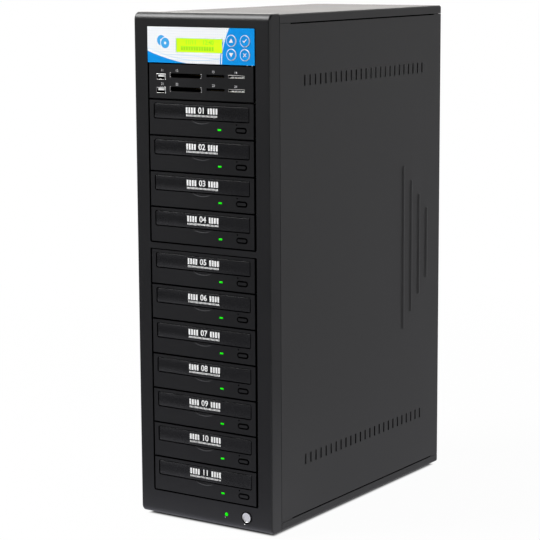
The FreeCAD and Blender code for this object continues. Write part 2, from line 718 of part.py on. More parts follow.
READER_Z = bay_floor(READER_BAY)
READER_BACK_Y = BAY_FRONT_Y + FACE_T
ROWS = tuple(READER_Z + ROW_MIDDLE + side * ROW_PITCH / 2 for side in (1, -1))


def card_reader_face():
    """The bay plate with two rows of slots, and arms back along the cage walls."""
    middle = READER_Z + BAY_PITCH / 2
    face = block(0, middle, DRIVE_BEZEL_W, DRIVE_BEZEL_H, BAY_FRONT_Y, READER_BACK_Y)
    face = face.makeChamfer(DRIVE_BEZEL_CHAMFER, front_edges(face, BAY_FRONT_Y))
    for sx in (-1, 1):
        x = sx * (DRIVE_W - READER_ARM_T) / 2
        face = face.fuse(block(x, middle, READER_ARM_T, DRIVE_BEZEL_H - 2 * FACE_SKIRT_INSET,
                               READER_BACK_Y, READER_BACK_Y + READER_ARM_D))
    for z in ROWS:
        face = face.cut(block(USB_X, z, USB_W + 2 * FIT_GAP, USB_H + 2 * FIT_GAP, BAY_FRONT_Y, READER_BACK_Y))
        for name, x, width, height, rise in CARD_SLOTS:
            face = face.cut(block(x, z + rise, width, height, BAY_FRONT_Y, READER_BACK_Y))
    return face


def card_reader_boards():
    """A board under each row of sockets, held between the arms."""
    width = DRIVE_W - 2 * (READER_ARM_T + FIT_GAP)
    boards = []
    for z in ROWS:
        top = z - READER_BOARD_DROP
        boards.append(box(-width / 2, width / 2, READER_BACK_Y, READER_BACK_Y + READER_BOARD_D,
                          top - BOARD_T, top))
    return boards


def usb_ports():
    """Pressed metal shells, each with its contact tongue."""
    ports = []
    for z in ROWS:
        shell = block(USB_X, z, USB_W, USB_H, BAY_FRONT_Y, BAY_FRONT_Y + USB_D)
        inside = block(USB_X, z, USB_W - 2 * USB_WALL, USB_H - 2 * USB_WALL, BAY_FRONT_Y,
                       BAY_FRONT_Y + USB_D - USB_WALL)
        tongue = block(USB_X, z + USB_TONGUE_RISE, USB_TONGUE_W, USB_TONGUE_T,
                       BAY_FRONT_Y + USB_WALL, BAY_FRONT_Y + USB_D)
        ports.append(shell.cut(inside).fuse(tongue))
    return ports


def card_sockets():
    """Open-fronted sockets that stand on the boards behind the slots."""
    sockets = []
    y0, y1 = READER_BACK_Y, READER_BACK_Y + SOCKET_D
    for row in ROWS:
        for name, x, width, height, rise in CARD_SLOTS:
            z = row + rise
            half = width / 2 + SOCKET_WALL
            socket = box(x - half, x + half, y0, y1, row - READER_BOARD_DROP, z + height / 2 + SOCKET_WALL)
            sockets.append(socket.cut(block(x, z, width, height, y0, y1 - SOCKET_WALL)))
    return sockets


# Disc drives

CASING_Y0 = BAY_FRONT_Y + DRIVE_BEZEL_D
CASING_Y1 = BAY_FRONT_Y + DRIVE_D
DOOR_FRONT_Y = BAY_FRONT_Y + DOOR_RECESS
TRAY_FRONT_Y = DOOR_FRONT_Y + DOOR_T + DOOR_CLIP_GAP


def door_floor(z):
    """The lower edge of the door of the drive whose bay floor is at z."""
    return z + BAY_PITCH - DOOR_BELOW_BAY_TOP - DOOR_H


def drive_bezel(z):
    """A drive front: door window with a finger scallop, lamp, sunk eject button and release hole."""
    back = CASING_Y0
    face = block(0, z + BAY_PITCH / 2, DRIVE_BEZEL_W, DRIVE_BEZEL_H, BAY_FRONT_Y, back)
    face = face.makeChamfer(DRIVE_BEZEL_CHAMFER, front_edges(face, BAY_FRONT_Y))
    sill = door_floor(z) - DOOR_GAP
    half = DOOR_W / 2 + DOOR_GAP
    face = face.cut(rounded_box(-half, half, BAY_FRONT_Y, back, sill, sill + DOOR_H + 2 * DOOR_GAP, DOOR_R))
    scallop_r = ((SCALLOP_W / 2) ** 2 + SCALLOP_H ** 2) / (2 * SCALLOP_H)
    scallop = rod(0, sill - SCALLOP_H + scallop_r, scallop_r, BAY_FRONT_Y, BAY_FRONT_Y + SCALLOP_DEPTH)
    scallop = scallop.common(block(0, sill, SCALLOP_W, 2 * SCALLOP_H, BAY_FRONT_Y, back))
    face = face.cut(scallop)
    face = face.cut(block(LED_X, z + LED_Z, LED_W, LED_H, BAY_FRONT_Y, back))
    eject_z = z + EJECT_Z
    face = face.cut(obround(EJECT_X, eject_z, EJECT_W + 2 * EJECT_RING, EJECT_H + 2 * EJECT_RING,
                            BAY_FRONT_Y, BAY_FRONT_Y + EJECT_RING_D))
    face = face.cut(obround(EJECT_X, eject_z, EJECT_W + 2 * SEAT_GAP, EJECT_H + 2 * SEAT_GAP,
                            BAY_FRONT_Y, back))
    return face.cut(rod(PINHOLE_X, sill - PINHOLE_DROP, PINHOLE_D / 2, BAY_FRONT_Y, back))


def drive_led(z):
    """A light pipe in the drive front."""
    y0 = BAY_FRONT_Y - LED_PROUD
    return block(LED_X, z + LED_Z, LED_W - FIT_GAP, LED_H - FIT_GAP, y0, y0 + LED_L)


def eject_button(z):
    y0 = BAY_FRONT_Y - EJECT_PROUD
    return obround(EJECT_X, z + EJECT_Z, EJECT_W, EJECT_H, y0, y0 + EJECT_L)


def drive_casing(z):
    """A thin steel box, open at the front, where the drive front closes it."""
    middle = z + BAY_PITCH / 2
    height = DRIVE_BEZEL_H - 2 * DRIVE_WALL
    shell = block(0, middle, DRIVE_W, DRIVE_BEZEL_H, CASING_Y0, CASING_Y1)
    return shell.cut(block(0, middle, DRIVE_W - 2 * DRIVE_WALL, height, CASING_Y0, CASING_Y1 - DRIVE_WALL))


def drive_loader(z):
    """The moulded frame in the casing, with a rail at each side that the tray runs in."""
    y0 = CASING_Y0 + DRIVE_END_GAP
    y1 = CASING_Y1 - DRIVE_WALL - FIT_GAP
    floor = z + BAY_GAP / 2 + DRIVE_WALL
    wall_x = DRIVE_W / 2 - DRIVE_WALL - FIT_GAP
    rail_x = TRAY_W / 2 + SEAT_GAP
    tray_z = door_floor(z) + TRAY_DROP
    ledge_z = tray_z - SEAT_GAP
    lip_z = tray_z + TRAY_T + SEAT_GAP
    half = [(wall_x, floor), (wall_x, lip_z + LOADER_FLOOR), (rail_x - LOADER_LIP, lip_z + LOADER_FLOOR),
            (rail_x - LOADER_LIP, lip_z), (rail_x, lip_z), (rail_x, ledge_z),
            (rail_x - LOADER_LEDGE, ledge_z), (rail_x - LOADER_LEDGE, floor + LOADER_FLOOR)]
    outline = half + [(-x, h) for x, h in reversed(half)]
    return prism([(x, y0, h) for x, h in outline], (0, y1 - y0, 0))


def drive_tray(z):
    """The loading tray with its disc well and pickup slot."""
    low = door_floor(z) + TRAY_DROP
    high = low + TRAY_T
    tray = box(-TRAY_W / 2, TRAY_W / 2, TRAY_FRONT_Y, TRAY_FRONT_Y + TRAY_L, low, high)
    middle_y = TRAY_FRONT_Y + TRAY_RIM + WELL_R
    tray = tray.cut(Part.makeCylinder(WELL_R, TRAY_WELL_DEPTH, Vector(0, middle_y, high - TRAY_WELL_DEPTH)))
    slot_r = TRAY_SLOT_W / 2
    slot = Part.makeCylinder(slot_r, TRAY_T, Vector(0, middle_y, low))
    slot = slot.fuse(box(-slot_r, slot_r, middle_y, middle_y + WELL_R - TRAY_RIM, low, high))
    return tray.cut(slot)


def drive_door(z):
    """The door clipped to the front of the tray."""
    low = door_floor(z)
    return rounded_box(-DOOR_W / 2, DOOR_W / 2, DOOR_FRONT_Y, DOOR_FRONT_Y + DOOR_T, low, low + DOOR_H,
                       DOOR_R - DOOR_GAP)


# Fans and power supply

def fan_frame(x, z, back, width):
    """A square frame with a round duct, and a hub on four struts at the inner end."""
    front = back - FAN_D
    frame = block(x, z, width, width, front, back)
    frame = frame.cut(rod(x, z, duct_radius(width), front, back))
    hub_back = front + FAN_HUB_T
    span = width - FAN_RIM
    arms = block(x, z, span, FAN_STRUT_W, front, hub_back)
    arms = arms.fuse(block(x, z, FAN_STRUT_W, span, front, hub_back))
    hub = arms.fuse(rod(x, z, FAN_HUB_R, front, hub_back))
    hub = hub.cut(rod(x, z, FAN_SHAFT_R + RUNNING_GAP, front, hub_back))
    return frame.fuse(hub)


def fan_rotor(x, z, back, width):
    """A hub cup with pitched blades, and the shaft that runs in the frame's hub."""
    front = back - FAN_D
    cup_y0 = front + FAN_HUB_T + FAN_CUP_GAP
    cup_y1 = back - FAN_CUP_GAP
    rotor = rod(x, z, FAN_HUB_R, cup_y0, cup_y1)
    middle_y = (cup_y0 + cup_y1) / 2
    half = FAN_BLADE_CHORD / 2
    half_z = half * math.cos(math.radians(FAN_BLADE_PITCH))
    tip = math.sqrt((duct_radius(width) - FAN_TIP_GAP) ** 2 - (half_z + FAN_BLADE_T) ** 2)
    blade = box(x + FAN_HUB_R / 2, x + tip, middle_y - FAN_BLADE_T / 2, middle_y + FAN_BLADE_T / 2,
                z - half, z + half)
    blade.rotate(Vector(x, middle_y, z), Vector(1, 0, 0), FAN_BLADE_PITCH)
    for i in range(FAN_BLADES):
        turned_blade = blade.copy()
        turned_blade.rotate(Vector(x, 0, z), Vector(0, 1, 0), 360 * i / FAN_BLADES)
        rotor = rotor.fuse(turned_blade)
    return rotor.fuse(rod(x, z, FAN_SHAFT_R, front, cup_y0))


def psu_case():
    """A steel box with a fan grille, a cut-out for the inlet and a collar for the rocker."""
    y1 = REAR_INNER_Y
    y0 = y1 - PSU_D
    shell = block(0, PSU_MIDDLE_Z, PSU_W, PSU_H, y0, y1)
    inner_y1 = y1 - SHEET
    shell = shell.cut(block(0, PSU_MIDDLE_Z, PSU_W - 2 * SHEET, PSU_H - 2 * SHEET, y0 + SHEET, inner_y1))
    shell = shell.cut(grille(PSU_FAN_X, PSU_MIDDLE_Z, PSU_FAN_W, inner_y1, y1))
    inlet_w = INLET_W + 2 * (INLET_WALL + FIT_GAP)
    inlet_h = INLET_H + 2 * (INLET_WALL + FIT_GAP)
    shell = shell.cut(block(PSU_SIDE_X, PSU_MIDDLE_Z + INLET_ABOVE_MIDDLE, inlet_w, inlet_h, inner_y1, y1))
    well_w = ROCKER_W + 2 * ROCKER_GAP
    well_h = 2 * (ROCKER_HALF_L + ROCKER_GAP)
    collar_y0 = y1 - ROCKER_PIVOT_D - ROCKER_DEPTH
    collar_y1 = y1 + ROCKER_COLLAR_PROUD
    shell = shell.fuse(block(PSU_SIDE_X, ROCKER_Z, well_w + 2 * ROCKER_COLLAR, well_h + 2 * ROCKER_COLLAR,
                             collar_y0, collar_y1))
    shell = shell.cut(block(PSU_SIDE_X, ROCKER_Z, well_w, well_h, collar_y0, collar_y1))
    pin_reach = well_w / 2 + ROCKER_COLLAR
    bore = Part.makeCylinder(ROCKER_PIN_R + RUNNING_GAP, 2 * pin_reach,
                             Vector(PSU_SIDE_X - pin_reach, ROCKER_PIVOT_Y, ROCKER_Z), Vector(1, 0, 0))
    return shell.cut(bore)


def psu_rocker():
    """A rocker with a crowned face, resting tilted to one side on its two pins."""
    half = ROCKER_HALF_L
    toe = half - ROCKER_TAPER
    outline = [(-half, ROCKER_EDGE), (0, ROCKER_CROWN), (half, ROCKER_EDGE), (toe, -ROCKER_DEPTH),
               (-toe, -ROCKER_DEPTH)]
    x0 = PSU_SIDE_X - ROCKER_W / 2
    rocker = prism([(x0, ROCKER_PIVOT_Y + ROCKER_PIVOT_D / 2 + y, ROCKER_Z + z) for z, y in outline],
                   (ROCKER_W, 0, 0))
    reach = ROCKER_W / 2 + ROCKER_GAP + ROCKER_COLLAR
    pin = Part.makeCylinder(ROCKER_PIN_R, 2 * reach, Vector(PSU_SIDE_X - reach, ROCKER_PIVOT_Y, ROCKER_Z),
                            Vector(1, 0, 0))
    rocker = rocker.fuse(pin)
    rocker.rotate(Vector(PSU_SIDE_X, ROCKER_PIVOT_Y, ROCKER_Z), Vector(1, 0, 0), ROCKER_TILT)
    return rocker


def psu_inlet():
    """A three-pin mains inlet with a rim that seats on the power supply."""
    z = PSU_MIDDLE_Z + INLET_ABOVE_MIDDLE
    seat = REAR_INNER_Y
    front = seat - INLET_D
    body_w, body_h = INLET_W + 2 * INLET_WALL, INLET_H + 2 * INLET_WALL
    inlet = block(PSU_SIDE_X, z, body_w, body_h, front - INLET_WALL, seat)
    inlet = inlet.fuse(block(PSU_SIDE_X, z, body_w + 2 * INLET_RIM, body_h + 2 * INLET_RIM,
                             seat, seat + INLET_RIM_T))
    mouth = block(PSU_SIDE_X, z, INLET_W, INLET_H, front, seat + INLET_RIM_T)
    corners = [e for e in mouth.Edges if all(v.Z > z for v in e.Vertexes)
               and abs(e.tangentAt(e.FirstParameter).y) > 0.5]
    inlet = inlet.cut(mouth.makeChamfer(INLET_H / 4, corners))
    for x, drop in ((-PIN_PITCH, PIN_OFFSET), (0, -PIN_OFFSET), (PIN_PITCH, PIN_OFFSET)):
        inlet = inlet.fuse(block(PSU_SIDE_X + x, z - drop, PIN_W, PIN_H, front, front + PIN_L))
    return inlet


# Every node, in the order that the object would be put together

os.makedirs("parts", exist_ok=True)

pan = channel(BASE_Z, BASE_Z + PAN_FLANGE)
cover = channel(COVER_Z, COVER_Z - COVER_FLANGE)
side = right_side_panel()
cage = right_cage_wall()
save("bottom_pan", pan)
save("feet", *feet())
save("rear_panel", rear_panel())
save("right_cage_wall", cage)
save("left_cage_wall", mirrored(cage))
save("top_cover", cover)
save("right_side_panel", side)
save("left_side_panel", mirrored(side))
save("panel_thumbscrews", *thumbscrews())
save("front_bezel", front_bezel())
save("power_button", power_button())
save("power_switch_body", power_switch_body())
save("power_led", power_led())

save("control_panel_overlay", control_panel_overlay())
save("control_panel_face", control_panel_face())
save("display_module", display_module())
save("key_board", key_board())
for name, (x, z) in key_places().items():
    save(name, key(x, z))
save("controller_tray", controller_tray())
save("controller_board", controller_board())
save("card_reader_face", card_reader_face())
save("card_reader_board", *card_reader_boards())
save("usb_ports", *usb_ports())
save("card_sockets", *card_sockets())

bay_floors = [bay_floor(bay) for bay in DRIVE_BAYS]
save("drive_casings", *[drive_casing(z) for z in bay_floors])
save("drive_loaders", *[drive_loader(z) for z in bay_floors])
save("drive_bezels", *[drive_bezel(z) for z in bay_floors])
save("drive_leds", *[drive_led(z) for z in bay_floors])
for number, z in enumerate(bay_floors, start=1):
    save("drive_%02d_tray" % number, drive_tray(z), drive_door(z))
    save("drive_%02d_eject_button" % number, eject_button(z))

psu_fan = (PSU_FAN_X, PSU_MIDDLE_Z, REAR_INNER_Y - SHEET, PSU_FAN_W)
rear_fans = [(x, z, REAR_INNER_Y, FAN_W) for x, z in FAN_PLACES]
save("fan_frames", *[fan_frame(*place) for place in rear_fans + [psu_fan]])
save("upper_fan_rotor", fan_rotor(*rear_fans[0]))
save("lower_fan_rotor", fan_rotor(*rear_fans[1]))
save("psu_fan_rotor", fan_rotor(*psu_fan))
save("psu_case", psu_case())
save("psu_inlet", psu_inlet())
save("psu_rocker", psu_rocker())
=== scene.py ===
# %% [markdown]
# # A disc duplicator tower
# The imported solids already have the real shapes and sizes: the steel case, the moulded front, the
# eleven drives and everything that slides, turns or presses. This lesson gives them their looks.
# Some solids only need a good finish, some are copied and get soft edges, and the smallest things,
# such as printed numbers, contacts and screws, are made here. All of it is in metres, in the frame
# of the solids, so a piece goes where the solid says.

# %% Load the frame
import json
import math
import bmesh
import bpy
from mathutils import Matrix, Vector

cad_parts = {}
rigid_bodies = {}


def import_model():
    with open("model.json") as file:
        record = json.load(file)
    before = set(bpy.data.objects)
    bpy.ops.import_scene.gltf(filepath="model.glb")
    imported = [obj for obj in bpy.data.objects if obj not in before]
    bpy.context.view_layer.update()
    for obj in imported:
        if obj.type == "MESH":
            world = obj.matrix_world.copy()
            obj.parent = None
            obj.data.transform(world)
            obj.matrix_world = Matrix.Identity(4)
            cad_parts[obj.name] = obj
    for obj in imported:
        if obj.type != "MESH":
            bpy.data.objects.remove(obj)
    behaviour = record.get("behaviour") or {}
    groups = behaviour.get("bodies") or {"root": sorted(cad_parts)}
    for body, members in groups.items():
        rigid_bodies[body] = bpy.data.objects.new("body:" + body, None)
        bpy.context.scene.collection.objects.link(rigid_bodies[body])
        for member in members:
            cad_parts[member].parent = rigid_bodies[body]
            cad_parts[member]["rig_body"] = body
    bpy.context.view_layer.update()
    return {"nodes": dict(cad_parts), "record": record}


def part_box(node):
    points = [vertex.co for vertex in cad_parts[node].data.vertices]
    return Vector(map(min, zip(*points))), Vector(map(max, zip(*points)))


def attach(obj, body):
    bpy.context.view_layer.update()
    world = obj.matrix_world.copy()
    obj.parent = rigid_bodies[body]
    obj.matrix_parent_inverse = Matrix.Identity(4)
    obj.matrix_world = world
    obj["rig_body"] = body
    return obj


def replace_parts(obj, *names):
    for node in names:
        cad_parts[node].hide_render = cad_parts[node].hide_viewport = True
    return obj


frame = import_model()
nodes = frame["nodes"]
scene = bpy.context.scene
scene.view_settings.view_transform = "Standard"
MM = 0.001
DRIVES = ["drive_%02d" % number for number in range(1, 12)]
print("solids loaded:", len(nodes))

# %% [markdown]
# ## Sums with sockets
# A shader is a web of nodes. Written out node by node it is hard to read, so one small class wraps
# a socket: adding or multiplying two wires adds the Math node that does it, and `node` adds any
# other node. The same class serves the Geometry Nodes trees further down.


# %% The wire class
class Wire:
    """A socket of a node tree. Sums of wires add Math nodes."""

    def __init__(self, tree, socket=None):
        self.tree = tree
        self.socket = socket

    def node(self, kind, settings=None, inputs=None, output=0):
        """Add a node: its settings first, then the values or wires of its sockets."""
        made = self.tree.nodes.new(kind)
        for name, value in (settings or {}).items():
            setattr(made, name, value)
        for key, value in (inputs or {}).items():
            if isinstance(value, Wire):
                self.tree.links.new(value.socket, made.inputs[key])
            else:
                made.inputs[key].default_value = value
        return Wire(self.tree, made.outputs[output])

    def math(self, operation, first, second=0.0):
        return self.node("ShaderNodeMath", {"operation": operation}, {0: first, 1: second})

    def __add__(self, other):
        return self.math("ADD", self, other)

    def __radd__(self, other):
        return self.math("ADD", other, self)

    def __sub__(self, other):
        return self.math("SUBTRACT", self, other)

    def __rsub__(self, other):
        return self.math("SUBTRACT", other, self)

    def __mul__(self, other):
        return self.math("MULTIPLY", self, other)

    def __rmul__(self, other):
        return self.math("MULTIPLY", other, self)

    def __abs__(self):
        return self.math("ABSOLUTE", self)

    def ease(self, low, high):
        """0 below low, 1 above high, and a smooth step between."""
        return self.node("ShaderNodeMapRange", {"interpolation_type": "SMOOTHSTEP"},
                         {0: self, 1: low, 2: high})

    def blend(self, first, second):
        """The first colour where this wire is 0 and the second where it is 1."""
        return self.node("ShaderNodeMix", {"data_type": "RGBA"}, {0: self, 6: first, 7: second}, 2)

    def axes(self):
        """The X, Y and Z of a vector."""
        split = self.node("ShaderNodeSeparateXYZ", None, {0: self}).socket.node
        return [Wire(self.tree, out) for out in split.outputs]

    def noise(self, size_mm, detail=2.0, stretch=(1.0, 1.0, 1.0)):
        """Soft random speckle whose grains are about size_mm across."""
        where = self.node("ShaderNodeVectorMath", {"operation": "MULTIPLY"}, {0: self, 1: stretch})
        return self.node("ShaderNodeTexNoise", None,
                         {"Vector": where, "Scale": 1 / (size_mm * MM), "Detail": detail})


print("wires ready")

# %% [markdown]
# ## Camera
# The photograph is taken from the right of the front, about two and a half metres away, through a
# long lens. The camera's place was worked out from the stack of drives: their fronts are all of one
# known size, so the way they shrink and lean gives the distance and the angle.


# %% Place the camera
CAMERA_PLACE = (1.2956, -1.9941, 0.6764)
CAMERA_TURN, CAMERA_DIP, CAMERA_ROLL = (math.radians(a) for a in (33.81, 9.46, -0.32))
LENS_MM = 128.67

ahead = Vector((-math.sin(CAMERA_TURN) * math.cos(CAMERA_DIP),
                math.cos(CAMERA_TURN) * math.cos(CAMERA_DIP),
                -math.sin(CAMERA_DIP)))
level = Vector((math.cos(CAMERA_TURN), math.sin(CAMERA_TURN), 0.0))
upright = level.cross(ahead)
right = level * math.cos(CAMERA_ROLL) + upright * math.sin(CAMERA_ROLL)
up = right.cross(ahead)
lens = bpy.data.cameras.new("photo_camera")
lens.lens = LENS_MM
camera = bpy.data.objects.new("photo_camera", lens)
camera.matrix_world = Matrix((right, up, -ahead)).transposed().to_4x4()
camera.location = CAMERA_PLACE
scene.collection.objects.link(camera)
scene.camera = camera
print("camera at", CAMERA_PLACE, "lens", LENS_MM, "mm")

# %% [markdown]
# ## Studio
# The tower stands on a white sweep. A black object shows its form only by what it mirrors, so the
# room matters more than the lamps: it is white behind the tower, which turns the top cover pale at
# this low angle, and dimmer on the photographer's side, which keeps the front dark. The floor is
# seen as white with a dark line of shadow under the case. What the black faces mirror of it is a
# grey that is palest close to the front, and that grows paler towards the rear on the right. Under
# the case that mirrored grey turns dark: a painted shadow. A pair of numbers such as `FRONT_FADE`
# says where a tone starts and where it ends, in metres.


# %% Room
AMBIENT = 0.23
ROOM_FRONT, ROOM_BACK, ROOM_TURN = 0.085, 0.95, (0.0, 0.7)

world = bpy.data.worlds.new("studio")
scene.world = world
world.use_nodes = True
sky = Wire(world.node_tree)
path = sky.node("ShaderNodeLightPath").socket.node
seen = Wire(world.node_tree, path.outputs["Is Camera Ray"])
glossy = Wire(world.node_tree, path.outputs["Is Glossy Ray"])
through = Wire(world.node_tree, path.outputs["Is Transmission Ray"])
mirrored = sky.math("MAXIMUM", glossy, through)
to_right, to_back, _ = sky.node("ShaderNodeTexCoord", output="Generated").axes()
room = ROOM_FRONT + (ROOM_BACK - ROOM_FRONT) * (to_back - to_right).ease(*ROOM_TURN)
brightness = seen + (1 - seen) * (mirrored * room + (1 - mirrored) * AMBIENT)
background = world.node_tree.nodes["Background"]
background.inputs["Color"].default_value = (1.0, 1.0, 1.0, 1.0)
world.node_tree.links.new(brightness.socket, background.inputs["Strength"])
print("room from", ROOM_FRONT, "in front to", ROOM_BACK, "behind")

# %% Floor
FLOOR_REACH = 6.0
FLOOR_CORNERS = ((-1, -1), (1, -1), (1, 1), (-1, 1))
FLOOR_GLOW, GLOW_FADE = 0.97, (0.5, 1.6)
FLOOR_TONE = 0.86
FRONT_FAR, FRONT_NEAR, FRONT_EDGE = 0.30, 0.41, 0.88
RIGHT_DIM, RIGHT_PALE, RIGHT_EDGE = 0.10, 0.85, 0.78
FAR_FADE, FRONT_FADE, RIGHT_FADE = (0.25, 0.95), (0.2, 0.31), (0.1, 0.75)
RIGHT_LEAN, RIGHT_TURN, SIDE_TURN = 1.4, (-0.5, 0.6), (0.08, 0.1)
# The dark grey of a painted shadow: what the floor under the case shows in mirrors.
MIRRORED_SHADOW_TONE = 0.12
SHADOW_X, SHADOW_Y = (0.087, 0.094), (0.186, 0.194)
MIRRORED_SHADOW_X, MIRRORED_SHADOW_Y = (0.08, 0.095), (0.182, 0.2)
COOL, COOLER = (1.0, 1.0, 1.05), (1.0, 1.0, 1.12)


def grey(value, tint=(1.0, 1.0, 1.0)):
    return (value * tint[0], value * tint[1], value * tint[2], 1.0)


floor_mesh = bpy.data.meshes.new("floor")
floor_mesh.from_pydata([(FLOOR_REACH * sx, FLOOR_REACH * sy, 0) for sx, sy in FLOOR_CORNERS],
                       [], [(0, 1, 2, 3)])
floor = bpy.data.objects.new("floor", floor_mesh)
scene.collection.objects.link(floor)
paper = bpy.data.materials.new("white_paper")
paper.use_nodes = True
paper.node_tree.nodes.clear()
sheet = Wire(paper.node_tree)
spot = sheet.node("ShaderNodeTexCoord", output="Object")
away = sheet.node("ShaderNodeVectorMath", {"operation": "LENGTH"}, {0: spot}, "Value")
spot_x, spot_y, _ = spot.axes()
front_tone = away.ease(*FAR_FADE).blend(grey(FRONT_NEAR, COOLER), grey(FRONT_FAR, COOLER))
front_tone = (-1 * spot_y).ease(*FRONT_FADE).blend(grey(FRONT_EDGE, COOLER), front_tone)
towards_rear = (spot_y - RIGHT_LEAN * spot_x).ease(*RIGHT_TURN)
right_tone = towards_rear.blend(grey(RIGHT_DIM, COOL), grey(RIGHT_PALE, COOL))
right_tone = spot_x.ease(*RIGHT_FADE).blend(grey(RIGHT_EDGE, COOL), right_tone)
under = (1 - abs(spot_x).ease(*SHADOW_X)) * (1 - abs(spot_y).ease(*SHADOW_Y))
mirrored_shadow = (1 - abs(spot_x).ease(*MIRRORED_SHADOW_X)) * (1 - abs(spot_y).ease(*MIRRORED_SHADOW_Y))
mirror_tone = spot_x.ease(*SIDE_TURN).blend(front_tone, right_tone)
# Painted shadow: under the case the floor mirrors as a dark grey.
mirror_tone = mirrored_shadow.blend(mirror_tone, grey(MIRRORED_SHADOW_TONE))
looked_at = sheet.node("ShaderNodeLightPath", output="Is Camera Ray")
in_mirror = sheet.node("ShaderNodeLightPath", output="Is Glossy Ray")
glow = looked_at * (FLOOR_GLOW + (1 - FLOOR_GLOW) * away.ease(*GLOW_FADE)) * (1 - under)
matt = sheet.node("ShaderNodeBsdfDiffuse", None, {"Color": grey(FLOOR_TONE)})
white = sheet.node("ShaderNodeEmission", None, {"Color": in_mirror.blend(grey(1.0), mirror_tone)})
mixed = sheet.node("ShaderNodeMixShader", None, {0: glow + in_mirror, 1: matt, 2: white})
paper_out = paper.node_tree.nodes.new("ShaderNodeOutputMaterial")
paper.node_tree.links.new(mixed.socket, paper_out.inputs["Surface"])
floor_mesh.materials.append(paper)
print("floor", FLOOR_REACH * 2, "m wide")


# %% Lamps
def softbox(name, place, target, size, watts, tint=(1.0, 1.0, 1.0)):
    """A square area lamp at a place, turned to a target."""
    lamp = bpy.data.lights.new(name, "AREA")
    lamp.size = size
    lamp.energy = watts
    lamp.color = tint
    holder = bpy.data.objects.new(name, lamp)
    holder.location = place
    holder.rotation_euler = (Vector(target) - Vector(place)).to_track_quat("-Z", "Y").to_euler()
    scene.collection.objects.link(holder)


MIDDLE = (0.0, 0.0, 0.3)
HEAD = (0.0, -0.1, 0.6)
WARM = (1.0, 0.95, 0.90)
softbox("key_right", (1.9, -0.3, 0.4), MIDDLE, size=1.0, watts=9)
softbox("fill_front", (-0.9, -2.8, 2.0), MIDDLE, size=1.8, watts=6)
softbox("overhead", (-1.06, -0.92, 1.98), HEAD, size=1.15, watts=54)
softbox("backdrop", (-1.9, 2.8, 1.2), HEAD, size=2.0, watts=32, tint=WARM)
print("lamps:", [lamp.name for lamp in bpy.data.lights])

# %% [markdown]
# ## Finishes
# Black plastic and black paint differ in their grain, not their colour. The moulded front has the
# fine spark-eroded grain of its mould, the powder coat has a coarser orange peel, and the drive
# doors are nearly smooth. Each finish below sets its tone, its roughness and a bump from the same
# noise, so the grain that is seen is the grain that catches the light.


# %% Base of every finish
def finish(name, **constants):
    """A new material, its shader, and the wire of the place on the piece."""
    material = bpy.data.materials.new(name)
    material.use_nodes = True
    shader = material.node_tree.nodes["Principled BSDF"]
    for label, value in constants.items():
        shader.inputs[label.replace("_", " ")].default_value = value
    place = Wire(material.node_tree).node("ShaderNodeTexCoord", output="Object")
    return material, shader, place


def feed(shader, **wires):
    """Link wires to the shader's sockets."""
    for label, wire in wires.items():
        wire.tree.links.new(wire.socket, shader.inputs[label.replace("_", " ")])


def bump(height, depth_mm, strength=1.0):
    return height.node("ShaderNodeBump", None,
                       {"Strength": strength, "Distance": depth_mm * MM, "Height": height})


print("base of finishes ready")

# %% [markdown]
# The doors are a little lighter along their lower edge, most of all on the left: a painted sheen.
# It is drawn by the height above the lower edge of each drive, which repeats with the pitch of the
# drives, and the drive fronts get a fainter painted sheen on their left. The rims of the finger
# scallops are drawn in the same way as thin painted highlights. The gaps between the fronts are
# narrow and look dead black. Gloss would spoil them, so a Mix Shader turns the edges beside a gap
# to a dull black, which is painted shade. It could be done with geometry, but the line would then
# be thinner than a pixel and come and go.

# %% Painted shade, painted highlights and painted sheen of the drive fronts
SHEEN_SHADE, PAINTED_SHADE_TONE, RIM_HIGHLIGHT_TONE = 0.024, 0.0006, 0.07
SCALLOP_W, SCALLOP_H = 27 * MM, 3 * MM
SCALLOP_LIP = 0.8 * MM
SCALLOP_DROP = SCALLOP_H + SCALLOP_LIP
SCALLOP_R = ((SCALLOP_W / 2) ** 2 + SCALLOP_H ** 2) / (2 * SCALLOP_H)
RIM_START, RIM_STOP = (-0.1 * MM, 0.1 * MM), (0.5 * MM, 1.0 * MM)
RIM_END = (0.3 * SCALLOP_W, 0.5 * SCALLOP_W)
FRONT_H = 41.2 * MM
BAR_H = 8.0 * MM
LOW_GAP, HIGH_GAP = (0.2 * MM, 0.5 * MM), (FRONT_H - 0.35 * MM, FRONT_H - 0.05 * MM)
LINE_START, LINE_STOP = (-1.7 * MM, -1.3 * MM), (0.0, 0.5 * MM)
BAY_END = (74.8 * MM, 75.2 * MM)
SHEEN_ACROSS, SHEEN_LOW, SHEEN_HIGH = (-40 * MM, 62 * MM), (-1 * MM, 8.5 * MM), (11 * MM, 17 * MM)
FRONT_SHARE, RIGHT_SHARE, HIGH_SHARE = 0.15, 0.2, 0.45
door_feet = [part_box(drive + "_tray")[0][2] for drive in DRIVES]
DRIVE_PITCH = door_feet[0] - door_feet[1]
UPPER_DRIVES = 4
UPPER_FOOT, LOWER_FOOT = door_feet[UPPER_DRIVES - 1], door_feet[-1]
SILL_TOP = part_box("drive_bezels")[0][2]
DOOR_RISE = LOWER_FOOT - SILL_TOP
BAR_TOP = UPPER_FOOT - DOOR_RISE
BETWEEN = BAR_TOP - BAR_H / 2


def in_drive(height):
    """The height above the lower edge of the drive front it belongs to."""
    group = SILL_TOP + (BAR_TOP - SILL_TOP) * height.math("GREATER_THAN", height, BETWEEN)
    return height.math("FLOORED_MODULO", height - group, DRIVE_PITCH)


def front_gaps(place):
    """1 along the upper and lower edges of the drive fronts, which get painted shade."""
    rise = in_drive(place.axes()[2])
    return 1 - rise.ease(*LOW_GAP) + rise.ease(*HIGH_GAP)


